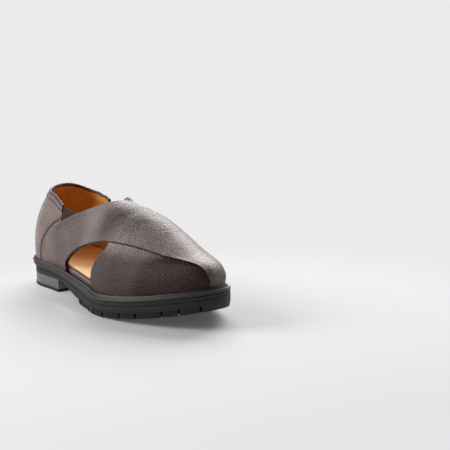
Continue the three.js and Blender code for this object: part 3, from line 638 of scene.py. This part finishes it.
# The lower leather is pressed in just behind the back edge of each strap, and a dark line of painted shadow
# follows the press.
pressAndShadow = {"away": 3.2, "deep": 0.6, "wide": 1.2, "endX": -68.0, "paintAndShade": 0.95}


def pressLine():
    run = backEdge[(backEdge[:, 0] < pressAndShadow["endX"]) & within(backEdge, rimLine)]
    t = unit(np.gradient(run, axis=0))
    return run + np.stack([-t[:, 1], t[:, 0]], 1) * pressAndShadow["away"]


pressed = pressLine()
pressBoth = [pressed, mirrored(pressed)]


def pressAndShadowShare(p):
    starts = np.vstack([line[:-1] for line in pressBoth])
    ends = np.vstack([line[1:] for line in pressBoth])
    return np.exp(-(distanceTo(p, starts, ends) / pressAndShadow["wide"]) ** 2)


# The leather is burnished darker at the toe, and painted shade darkens it where less light falls: at the
# feather, the front of the vamp, the medial side, and the strap's lateral side, middle and top. A row with
# "from" grows along one value, and a row with "at" is a soft patch of the pattern.
burnishAndShade = {
    "medial": {"most": 0.5, "from": 8.0, "run": 25.0},
    "feather": {"most": 0.85, "from": 0.53, "run": 0.17},
    "featherX": {"most": 1.0, "from": -40.0, "run": 50.0},
    "front": {"most": 0.8, "from": 72.0, "run": 36.0},
    "side": {"most": 0.5, "from": 0.0, "run": -30.0},
    "sideX": {"most": 1.0, "from": -100.0, "run": 30.0},
    "toe": {"most": 0.5, "from": 118.0, "run": 22.0},
    "underX": {"most": 1.0, "from": -50.0, "run": 30.0},
    "bareX": {"most": 1.0, "from": -32.0, "run": 8.0},
    "crossing": {"most": 0.88, "at": (22.0, -34.0), "wide": (21.0, 30.0)},
    "ridge": {"most": 0.5, "at": (46.0, -8.0), "wide": (22.0, 24.0)},
    "vampMost": 0.96, "strapMost": 0.88,
}


def growing(values, key):
    row = burnishAndShade[key]
    return row["most"] * smooth((values - row["from"]) / row["run"])


def patchOf(p, key):
    row = burnishAndShade[key]
    return row["most"] * np.exp(-(((p - row["at"]) / row["wide"]) ** 2).sum(1))


def vampPaintedShade(p):
    low = growing(outwardOf(p), "feather") * growing(p[:, 0], "featherX")
    total = low + growing(p[:, 0], "front") + growing(p[:, 1], "medial")
    return np.maximum(np.clip(total, 0, burnishAndShade["vampMost"]), pressAndShadow["paintAndShade"] * pressAndShadowShare(p))


def strapShadeAndBurnish(p):
    side = growing(p[:, 0], "side") * growing(p[:, 0], "sideX")
    ends = growing(p[:, 0], "toe") + growing(p[:, 1], "medial")
    return np.clip(patchOf(p, "crossing") + patchOf(p, "ridge") + side + ends, 0, burnishAndShade["strapMost"])


def inBody(p):
    return (within(p, rimLine) & ~within(p, throat) & ~within(p, lateralCut) & ~within(p, medialCut)
            & ~within(p, goreWindow) & ~within(p, mirrored(goreWindow)))


bodyEdges = [rimLine, throat, lateralCut, medialCut, goreWindow, mirrored(goreWindow)]
bodyLines = [(line, True) for line in bodyEdges] + [(line, False) for line in pressBoth]
body = {"outer": 0.0, "inner": -1.6, "liningOuter": -1.62, "liningInner": -2.0}
lowerLeather = sheetPiece("lowerLeather", bodyLines, inBody,
                          lambda p, d: body["outer"] + creased(p) - pressAndShadow["deep"] * pressAndShadowShare(p),
                          level(body["inner"]), looks["upper"], paintAndShade=vampPaintedShade)
settle(lowerLeather, ["upper"])
lining = sheetPiece("lining", bodyLines, inBody, level(body["liningOuter"]),
                    level(body["liningInner"]), looks["lining"], pitchOf=3.4, roundOver=0.1)
settle(lining, ["upper"])
print("scene: lower leather and lining made")

# A pressed line runs beside the edge of the upper strap, with a low bead outside it.
bead = {"high": 0.45, "at": 1.3, "wide": 0.9, "lineDeep": 0.4, "lineAt": 3.0, "lineWide": 0.6}


def strapBead(p, d):
    ridge = bead["high"] * np.exp(-((d - bead["at"]) / bead["wide"]) ** 2)
    line = bead["lineDeep"] * np.exp(-((d - bead["lineAt"]) / bead["lineWide"]) ** 2)
    return (ridge - line) * paredStep(p) / strap["step"]


# The upper strap's dark edge band is widened past its edge paint as painted shadow of the raised edge.
overStrap = sheetPiece(
    "overStrap", [(rimLine, True), (strapOutline, True)],
    lambda p: within(p, rimLine) & within(p, strapOutline),
    lambda p, d: paredStep(p) + creased(p) + strapBead(p, d),
    lambda p: strap["under"] + creased(p), looks["upper"], pitchOf=2.6, roundOver=0.9, paintAndShadowWide=1.0,
    paintAndShade=strapShadeAndBurnish)
settle(overStrap, ["upper"])

# The lower strap sinks into the leather round it before it ends under the upper one.
sunk = {"endX": -16.0, "sinkX": -62.0, "sinkRun": 44.0, "proud": 0.04, "inner": -0.4}


# Painted shade on the lower strap: the upper strap's mask, giving way to the vamp's toward its end.
def underShadeAndBurnish(p):
    share = growing(p[:, 0], "underX")
    return strapShadeAndBurnish(p) * (1 - share) + vampPaintedShade(p) * share


def inUnder(p):
    return within(p, rimLine) & within(p, underOutline) & (p[:, 1] > 0) & (p[:, 0] < sunk["endX"])


# The lower strap's dark edge band is widened the same way, as painted shadow of its raised edge.
underStrap = sheetPiece(
    "underStrap", [(rimLine, True), (underOutline, True),
                   (np.array([(sunk["endX"], 0), (sunk["endX"], halfPattern)]), False)], inUnder,
    lambda p, d: (paredStep(p) * (1 - smooth((p[:, 0] - sunk["sinkX"]) / sunk["sinkRun"]))
                  + sunk["proud"] + creased(p)),
    level(sunk["inner"]), looks["upper"], roundOver=0.6, paintAndShadowWide=1.0,
    paintAndShade=underShadeAndBurnish, bare=lambda p: growing(p[:, 0], "bareX"))
settle(underStrap, ["upper"])

bandOutline = np.vstack([collarTop, collarLine(collar["band"])[::-1]])
collarBand = sheetPiece(
    "collarBand", [(bandOutline, True), (strapOutline, True), (underOutline, True)],
    lambda p: within(p, bandOutline) & ~within(p, strapOutline) & ~within(p, underOutline),
    level(collar["bandStep"]), level(collar["bandUnder"]), looks["upper"], pitchOf=2.0, roundOver=0.5,
    paintAndShadowWide=0.9)
settle(collarBand, ["upper"])
print("scene: straps and collar band made")

for side, window in (("Lateral", goreWindow), ("Medial", mirrored(goreWindow))):
    piece = sheetPiece("gore" + side, [(window, True)], lambda p, w=window: within(p, w),
                       level(gore["face"]), level(gore["back"]), looks["elastic"], pitchOf=2.0,
                       roundOver=0.1)
    settle(piece, ["gore_" + side.lower()])

pipe = {"step": 2.0, "lift": -0.65, "radius": 1.7, "sides": 10, "paintAndShade": 0.75}


# A round cord along a line of places
def cordPiece(name, path, look, material):
    sides = look["sides"]
    tangent = unit(np.gradient(path, axis=0))
    first = unit(np.cross(tangent, [0.0, 0.0, 1.0]))
    second = np.cross(tangent, first)
    turns = [2 * math.pi * k / sides for k in range(sides)]
    rings = [path + look["radius"] * (first * math.cos(a) + second * math.sin(a)) for a in turns]
    points = np.stack(rings, 1).reshape(-1, 3)
    last = (len(path) - 1) * sides
    faces = []
    for i in range(0, last, sides):
        for k in range(sides):
            m = (k + 1) % sides
            faces.append((i + k, i + m, i + sides + m, i + sides + k))
    faces.append(tuple(range(sides))[::-1])
    faces.append(tuple(range(last, last + sides)))
    return meshPiece(name, placed(points), faces, material, np.full(len(points), look["paintAndShade"]))


pipePath = lasted(resampled(collarTop, pipe["step"]), pipe["lift"])
settle(cordPiece("collarPiping", pipePath, pipe, looks["upper"]), ["upper"])


# Small repeated pieces: one node tree sets a stretched ball at each place, along its direction.
def rowTree():
    tree = bpy.data.node_groups.new("row of small pieces", "GeometryNodeTree")
    tree.is_modifier = True
    tree.interface.new_socket(name="Geometry", in_out="INPUT", socket_type="NodeSocketGeometry")
    for label, value in (("Length", 0.002), ("Width", 0.0006), ("Height", 0.0006)):
        socketOf(tree, label, "NodeSocketFloat", value)
    tree.interface.new_socket(name="Material", in_out="INPUT", socket_type="NodeSocketMaterial")
    tree.interface.new_socket(name="Geometry", in_out="OUTPUT", socket_type="NodeSocketGeometry")
    nodes, links = tree.nodes, tree.links
    start, end = nodes.new("NodeGroupInput"), nodes.new("NodeGroupOutput")
    ball = nodes.new("GeometryNodeMeshUVSphere")
    ball.inputs["Segments"].default_value = 8
    ball.inputs["Rings"].default_value = 6
    ball.inputs["Radius"].default_value = 0.5
    size = nodes.new("ShaderNodeCombineXYZ")
    form = nodes.new("GeometryNodeTransform")
    spread = nodes.new("GeometryNodeInstanceOnPoints")
    turn = nodes.new("FunctionNodeAxesToRotation")
    turn.primary_axis = "X"
    turn.secondary_axis = "Z"
    for label, socket in (("direction", "Primary Axis"), ("outward", "Secondary Axis")):
        read = nodes.new("GeometryNodeInputNamedAttribute")
        read.data_type = "FLOAT_VECTOR"
        read.inputs["Name"].default_value = label
        links.new(read.outputs["Attribute"], turn.inputs[socket])
    real = nodes.new("GeometryNodeRealizeInstances")
    paint = nodes.new("GeometryNodeSetMaterial")
    for label, axis in (("Length", "X"), ("Width", "Y"), ("Height", "Z")):
        links.new(start.outputs[label], size.inputs[axis])
    links.new(ball.outputs["Mesh"], form.inputs["Geometry"])
    links.new(size.outputs["Vector"], form.inputs["Scale"])
    links.new(start.outputs["Geometry"], spread.inputs["Points"])
    links.new(form.outputs["Geometry"], spread.inputs["Instance"])
    links.new(turn.outputs["Rotation"], spread.inputs["Rotation"])
    links.new(spread.outputs["Instances"], real.inputs["Geometry"])
    links.new(real.outputs["Geometry"], paint.inputs["Geometry"])
    links.new(start.outputs["Material"], paint.inputs["Material"])
    links.new(paint.outputs["Geometry"], end.inputs["Geometry"])
    return tree


rowNodes = rowTree()


def rowPiece(name, places, directions, outwards, sizes, material):
    seeds = bpy.data.meshes.new(name + " places")
    seeds.from_pydata([tuple(p) for p in placed(places)], [], [])
    for label, values in (("direction", directions), ("outward", outwards)):
        layer = seeds.attributes.new(label, "FLOAT_VECTOR", "POINT")
        layer.data.foreach_set("vector", np.asarray(values, np.float32).reshape(-1))
    holder = added(name + " places", seeds)
    mod = holder.modifiers.new("row", "NODES")
    mod.node_group = rowNodes
    ids = {item.name: item.identifier for item in rowNodes.interface.items_tree if item.in_out == "INPUT"}
    mod[ids["Length"]], mod[ids["Width"]], mod[ids["Height"]] = [s / 1000.0 for s in sizes]
    mod[ids["Material"]] = material
    bpy.context.view_layer.update()
    data = bpy.data.meshes.new_from_object(holder.evaluated_get(bpy.context.evaluated_depsgraph_get()))
    data.name = name
    bpy.data.objects.remove(holder)
    data.shade_smooth()
    return added(name, data)


seam = {"length": 2.1, "gap": 0.6, "width": 0.55, "proud": 0.02, "bandIn": 0.013, "liningIn": -0.004}


def stitchesOn(name, depth, lift, material):
    places = resampled(collarLine(depth)[2:-2], seam["length"] + seam["gap"])
    at = lasted(places, lift)
    return rowPiece(name, at, unit(np.gradient(at, axis=0)), formNormal(places[:, 0], places[:, 1]),
                    (seam["length"], seam["width"], seam["width"]), material)


bandSeam = stitchesOn("bandStitches", collar["band"] - seam["bandIn"], collar["bandStep"] + seam["proud"],
                      looks["thread"])
settle(bandSeam, ["upper"])
liningSeam = stitchesOn("liningStitches", collar["band"] - seam["liningIn"],
                        body["liningInner"] - seam["proud"], looks["tanThread"])
settle(liningSeam, ["upper"])
print("scene: gores, piping and stitches made")

# Rays round the sole, finer than those of the solids
rayCount = {"side": 52, "toe": 72, "heel": 48}


def raysRound():
    side = np.linspace(plan["heelX"], plan["ballX"], rayCount["side"] + 1)
    rows = [(x, 0.0, -1.0) for x in side[:-1]]
    for a in np.linspace(-90, 90, rayCount["toe"] + 1)[:-1]:
        r = math.radians(a)
        rows.append((plan["ballX"], max(0.0, math.cos(r)) if a > -90 else 0.0, math.sin(r)))
    rows += [(x, 0.0, 1.0) for x in side[:0:-1]]
    for a in np.linspace(90, 270, rayCount["heel"] + 1)[:-1]:
        r = math.radians(a)
        rows.append((plan["heelX"], min(0.0, math.cos(r)) if a > 90 else 0.0, math.sin(r)))
    return np.array(rows)


rays = raysRound()
rimStation = rays[:, 0] + np.where(rays[:, 1] > 0, toeReach, heelReach) * rays[:, 1]
upperInset = insetAt(rimStation)


# One loop of points round the sole: a share of the way out to an inset from its edge, at a height
def loopOf(share, inset, height):
    dx, dy = edgeOf(rays[:, 0], rays[:, 1], rays[:, 2], inset)
    x = rays[:, 0] + dx * share
    medial = np.where((rays[:, 1] == 0) & (rays[:, 2] > 0), share, 0.0)
    return np.stack([x, swing(x) + dy * share, height(x, medial)], 1)


# Places at an even pitch round a closed loop, or the values of another loop at those places
def spacedRound(loop, pitch, other=None):
    closed = np.vstack([loop, loop[:1]])
    values = closed if other is None else np.vstack([other, other[:1]])
    run = np.concatenate([[0], np.cumsum(np.linalg.norm(np.diff(closed, axis=0), axis=1))])
    at = np.arange(0, run[-1], pitch)
    return np.stack([np.interp(at, run, values[:, k]) for k in range(3)], 1)


def weld(data, flatten=0.0):
    bm = bmesh.new()
    bm.from_mesh(data)
    bmesh.ops.remove_doubles(bm, verts=bm.verts, dist=1e-6)
    if flatten:
        bmesh.ops.dissolve_limit(bm, angle_limit=math.radians(flatten), verts=bm.verts, edges=bm.edges)
    bm.to_mesh(data)
    bm.free()


def skinPiece(name, loops, closed, material, softAngle=40):
    n = len(loops[0])
    faces = []
    for j in range(len(loops) if closed else len(loops) - 1):
        k = (j + 1) % len(loops)
        for i in range(n):
            m = (i + 1) % n
            faces.append((j * n + i, j * n + m, k * n + m, k * n + i))
    piece = meshPiece(name, placed(np.vstack(loops)), faces, material)
    weld(piece.data)
    softened(piece.data, softAngle)
    return piece


# Height functions for the loops: along the sole, and up the medial side for the arch
arch = {"rise": 3.5, "x": -45.0, "run": 45.0}


def bedTop(x, medial):
    rise = arch["rise"] * medial ** 2 * np.exp(-((x - arch["x"]) / arch["run"]) ** 2)
    return feather(x) + stack["bed"] + rise


def weltUnder(x, medial):
    return midsoleTop(x) + stack["gap"]


def raised(base, rise):
    return lambda x, medial: base(x, medial) + rise


def alongOnly(base):
    return lambda x, medial: base(x)


innerShares = [0.0, 0.3, 0.55, 0.75, 0.9]
# Shares inward and down for the rounded edge on top, and inward and up for the chamfer below
roundSteps = [(0.0, 1.0), (0.08, 0.62), (0.29, 0.29), (0.62, 0.08), (1.0, 0.0)]
chamferSteps = [(1.0, 0.0), (0.29, 0.29), (0.0, 1.0)]


def slabLoops(inset, under, over, edgeRound):
    loops = [loopOf(s, inset, under) for s in innerShares]
    loops += [loopOf(1, inset + edgeRound * a, raised(under, edgeRound * b)) for a, b in chamferSteps]
    loops += [loopOf(1, inset + edgeRound * a, raised(over, -edgeRound * b)) for a, b in roundSteps]
    loops += [loopOf(s, inset + edgeRound, over) for s in innerShares[::-1]]
    return loops


# The wrap's section: inset from its side, and height over the feather or the bed
wrap = {"inset": 3.0, "plug": 9.3, "low": [(0.2, 0.2), (0.0, 0.6)],
        "high": [(0.0, -1.2), (0.4, -0.3), (1.2, 0.0)]}
cover = {"inset": 0.6, "round": 0.9}
footbedInset = upperInset + wrap["inset"]
insoleLoops = slabLoops(footbedInset + cover["inset"], raised(bedTop, stack["gap"]),
                        raised(bedTop, stack["gap"] + stack["insole"]), cover["round"])
settle(skinPiece("insoleSheet", insoleLoops, False, looks["insole"]), ["insole"])

plug = upperInset + wrap["plug"]
onFeather = alongOnly(feather)
footbedLoops = [loopOf(s, plug, weltUnder) for s in innerShares + [1]]
footbedLoops.append(loopOf(1, plug, raised(onFeather, wrap["low"][0][1])))
footbedLoops += [loopOf(1, footbedInset + a, raised(onFeather, b)) for a, b in wrap["low"]]
footbedLoops += [loopOf(1, footbedInset + a, raised(bedTop, b)) for a, b in wrap["high"]]
footbedLoops += [loopOf(s, footbedInset + wrap["high"][-1][0], bedTop) for s in innerShares[::-1]]
settle(skinPiece("footbedWrap", footbedLoops, False, looks["upper"]), ["footbed"])

whip = {"pitch": 4.0, "size": (2.9, 1.9, 1.3), "height": 1.35, "outer": 0.5, "inner": 4.0, "slant": 0.3}
border = loopOf(1, footbedInset + whip["outer"], raised(bedTop, whip["height"]))
inner = loopOf(1, footbedInset + whip["inner"], raised(bedTop, whip["height"]))
spots = spacedRound(border, whip["pitch"])
reach = unit((spots - spacedRound(border, whip["pitch"], inner)) * [1, 1, 0])
upright = np.tile([0, 0, 1.0], (len(spots), 1))
whips = rowPiece("borderStitches", spots, upright - whip["slant"] * reach, reach, whip["size"],
                 looks["edgeThread"])
settle(whips, ["insole"])
print("scene: insole and footbed made")

# The welt: flat strip, standing rim and a wheeled band along its outer edge
storm = {"inward": 9.0, "rimIn": 0.75, "rimOut": 2.75, "foot": 0.3, "proud": 0.05}
wheeled = {"pitch": 1.7, "size": (2.6, 1.05, 0.55), "outward": 0.85, "along": 0.5, "least": 0.2}
rimIn, rimOut = upperInset - storm["rimIn"], upperInset - storm["rimOut"]
onWelt = alongOnly(weltTop)
weltLoops = [loopOf(1, inset, raised(weltUnder, rise)) for inset, rise in [
    (upperInset + storm["inward"], 0.0), (0.5, 0.0), (0.1, 0.5),
]]
weltLoops += [loopOf(1, inset, raised(onWelt, rise)) for inset, rise in [
    (0.0, -1.1), (0.25, -0.4), (0.7, 0.0), (rimOut - storm["foot"], storm["proud"]), (rimOut, 0.5),
    (rimOut + 0.15, stack["rim"] - 0.6), (rimOut + 0.6, stack["rim"]), (rimIn - 0.4, stack["rim"]),
    (rimIn, stack["rim"] - 0.4), (rimIn, 0.0), (upperInset + storm["inward"], 0.0),
]]
settle(skinPiece("weltStrip", weltLoops, True, looks["welt"], 50), ["welt"])

# The ribs' light grey stands in for light catching the welt's top: painted highlight.
ribInset = np.clip((rimOut - storm["foot"]) / 2, wheeled["least"], None)
spots = spacedRound(loopOf(1, ribInset, raised(onWelt, storm["proud"])), wheeled["pitch"])
t = unit(np.gradient(spots, axis=0))
slant = np.cross(t, [0, 0, 1.0]) * wheeled["outward"] + t * wheeled["along"]
upright = np.tile([0, 0, 1.0], (len(spots), 1))
ribs = rowPiece("weltRibs", spots, slant, upright, wheeled["size"], looks["weltTop"])
settle(ribs, ["welt"])

seat = {"waist": 1.8, "inset": 0.3, "round": 0.6}
seatInset = seat["waist"] * pitch(rimStation) + seat["inset"]
midsoleLoops = slabLoops(seatInset, raised(alongOnly(outsoleTop), stack["gap"]), alongOnly(midsoleTop),
                         seat["round"])
settle(skinPiece("midsoleLayer", midsoleLoops, False, looks["rubber"]), ["midsole"])

# The blocks below keep the form of their solids, with flat faces merged and edges rounded
block = {"flatten": 1.5, "segments": 2, "bevelFrom": 35, "sharp": 38}


def fromSolid(name, node, material, bevel):
    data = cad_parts[node].data.copy()
    piece = added(name, data)
    weld(data, block["flatten"])
    data.materials.clear()
    data.materials.append(material)
    mod = piece.modifiers.new("bevel", "BEVEL")
    mod.width = bevel
    mod.segments = block["segments"]
    mod.limit_method = "ANGLE"
    mod.angle_limit = math.radians(block["bevelFrom"])
    mod.use_clamp_overlap = True
    bpy.context.view_layer.update()
    made = bpy.data.meshes.new_from_object(piece.evaluated_get(bpy.context.evaluated_depsgraph_get()))
    piece.modifiers.clear()
    piece.data = made
    made.name = name
    softened(made, block["sharp"])
    return piece


for name, node, look, bevel in [("outsoleUnit", "outsole", "rubber", 0.0005),
                                ("heelBlock", "heel", "heel", 0.0004),
                                ("topLiftLayer", "top_lift", "rubber", 0.0003)]:
    settle(fromSolid(name, node, looks[look], bevel), [node])
print("scene: welt and sole made")

# Floor, light and camera, in metres, placed from the photo's angle
view = {"azimuth": 56.76, "elevation": 12.29, "roll": -1.98, "distance": 1.10094, "focal": 1081.1,
        "lands": (123.04, 258.41), "pixels": 450.0, "centre": (0.001, 0.002088, 0.04), "sensor": 36.0}
a, e = math.radians(view["azimuth"]), math.radians(view["elevation"])
deep = Vector((-math.sin(a), math.cos(a), 0))
right = Vector((math.cos(a), math.sin(a), 0))

backdrop = {"front": -3.0, "bend": 2.2, "radius": 1.2, "top": 4.0, "half": 4.0}
profile = [(backdrop["front"], 0.0), (backdrop["bend"], 0.0)]
for turn in range(10, 91, 10):
    r = math.radians(turn)
    profile.append((backdrop["bend"] + backdrop["radius"] * math.sin(r),
                    backdrop["radius"] * (1 - math.cos(r))))
profile.append((backdrop["bend"] + backdrop["radius"], backdrop["top"]))
points = [tuple(deep * d + right * w + Vector((0, 0, h))) for d, h in profile
          for w in (-backdrop["half"], backdrop["half"])]
room = bpy.data.meshes.new("floor")
room.from_pydata(points, [], [(i, i + 1, i + 3, i + 2) for i in range(0, len(points) - 2, 2)])
room.shade_smooth()

# Round the shoe the floor takes its shadow, and further off it has one flat tone.
fade = {"from": 0.18, "to": 0.42, "aside": 0.08, "nearer": 0.16, "glow": (0.06, 0.832), "tone": (0.63, 0.0)}
studio = plainMaterial("studio floor", (fade["tone"][0],) * 3, 0.9)
tree = studio.node_tree
shader = tree.nodes["Principled BSDF"]
shader.inputs["Specular IOR Level"].default_value = 0.0
shader.inputs["Emission Color"].default_value = (1.0, 1.0, 1.0, 1)
coords, away = tree.nodes.new("ShaderNodeTexCoord"), tree.nodes.new("ShaderNodeVectorMath")
away.operation = "DISTANCE"
away.inputs[1].default_value = tuple(right * fade["aside"] - deep * fade["nearer"])
tree.links.new(coords.outputs["Object"], away.inputs[0])
for target, key in (("Emission Strength", "glow"), ("Base Color", "tone")):
    ring = ranged(tree, away.outputs["Value"], *fade[key], shader.inputs[target])
    ring.interpolation_type = "SMOOTHSTEP"
    ring.inputs["From Min"].default_value = fade["from"]
    ring.inputs["From Max"].default_value = fade["to"]
room.materials.append(studio)
floor = added("floor", room)

world = bpy.data.worlds.new("studio")
bpy.context.scene.world = world
world.use_nodes = True
background = world.node_tree.nodes["Background"]
background.inputs["Color"].default_value = (1.0, 1.0, 1.0, 1)
background.inputs["Strength"].default_value = 0.22

lamps = [
    {"name": "overhead box", "deep": 1.6, "right": 0.7, "high": 1.6, "size": (2.5, 1.6), "power": 76},
    {"name": "side box", "deep": 0.1, "right": -1.5, "high": 0.95, "size": (1.2, 1.0), "power": 26},
]
aim = Vector((0, 0, 0.05))
for row in lamps:
    lamp = bpy.data.lights.new(row["name"], "AREA")
    lamp.shape = "RECTANGLE"
    lamp.size, lamp.size_y = row["size"]
    lamp.energy = row["power"]
    holder = added(row["name"], lamp)
    holder.location = Vector((0, 0, row["high"])) + deep * row["deep"] + right * row["right"]
    holder.rotation_mode = "QUATERNION"
    holder.rotation_quaternion = (aim - holder.location).to_track_quat("-Z", "Y")

# The camera is turned until the centre lands on its place in the photo, and then rolled.
back = Vector((math.sin(a) * math.cos(e), -math.cos(a) * math.cos(e), math.sin(e)))
up = Vector((-math.sin(a) * math.sin(e), math.cos(a) * math.sin(e), math.cos(e)))
middlePixel = view["pixels"] / 2
yaw = math.atan((view["lands"][0] - middlePixel) / view["focal"])
axisZ = back * math.cos(yaw) + right * math.sin(yaw)
axisX = right * math.cos(yaw) - back * math.sin(yaw)
tip = math.atan((middlePixel - view["lands"][1]) / view["focal"] * math.cos(yaw))
backward = axisZ * math.cos(tip) + up * math.sin(tip)
upward = up * math.cos(tip) - axisZ * math.sin(tip)
roll = math.radians(view["roll"])
cameraX = axisX * math.cos(roll) + upward * math.sin(roll)
cameraY = upward * math.cos(roll) - axisX * math.sin(roll)
lens = bpy.data.cameras.new("photo view")
lens.sensor_width = view["sensor"]
lens.lens = view["focal"] / view["pixels"] * view["sensor"]
lens.clip_start, lens.clip_end = 0.05, 30.0
camera = added("photo view", lens)
place = Vector(view["centre"]) + back * view["distance"]
turned = Matrix((cameraX, cameraY, backward)).transposed().to_4x4()
camera.matrix_world = Matrix.Translation(place) @ turned
bpy.context.scene.camera = camera
bpy.context.scene.view_settings.view_transform = "Standard"

print("scene: ready")
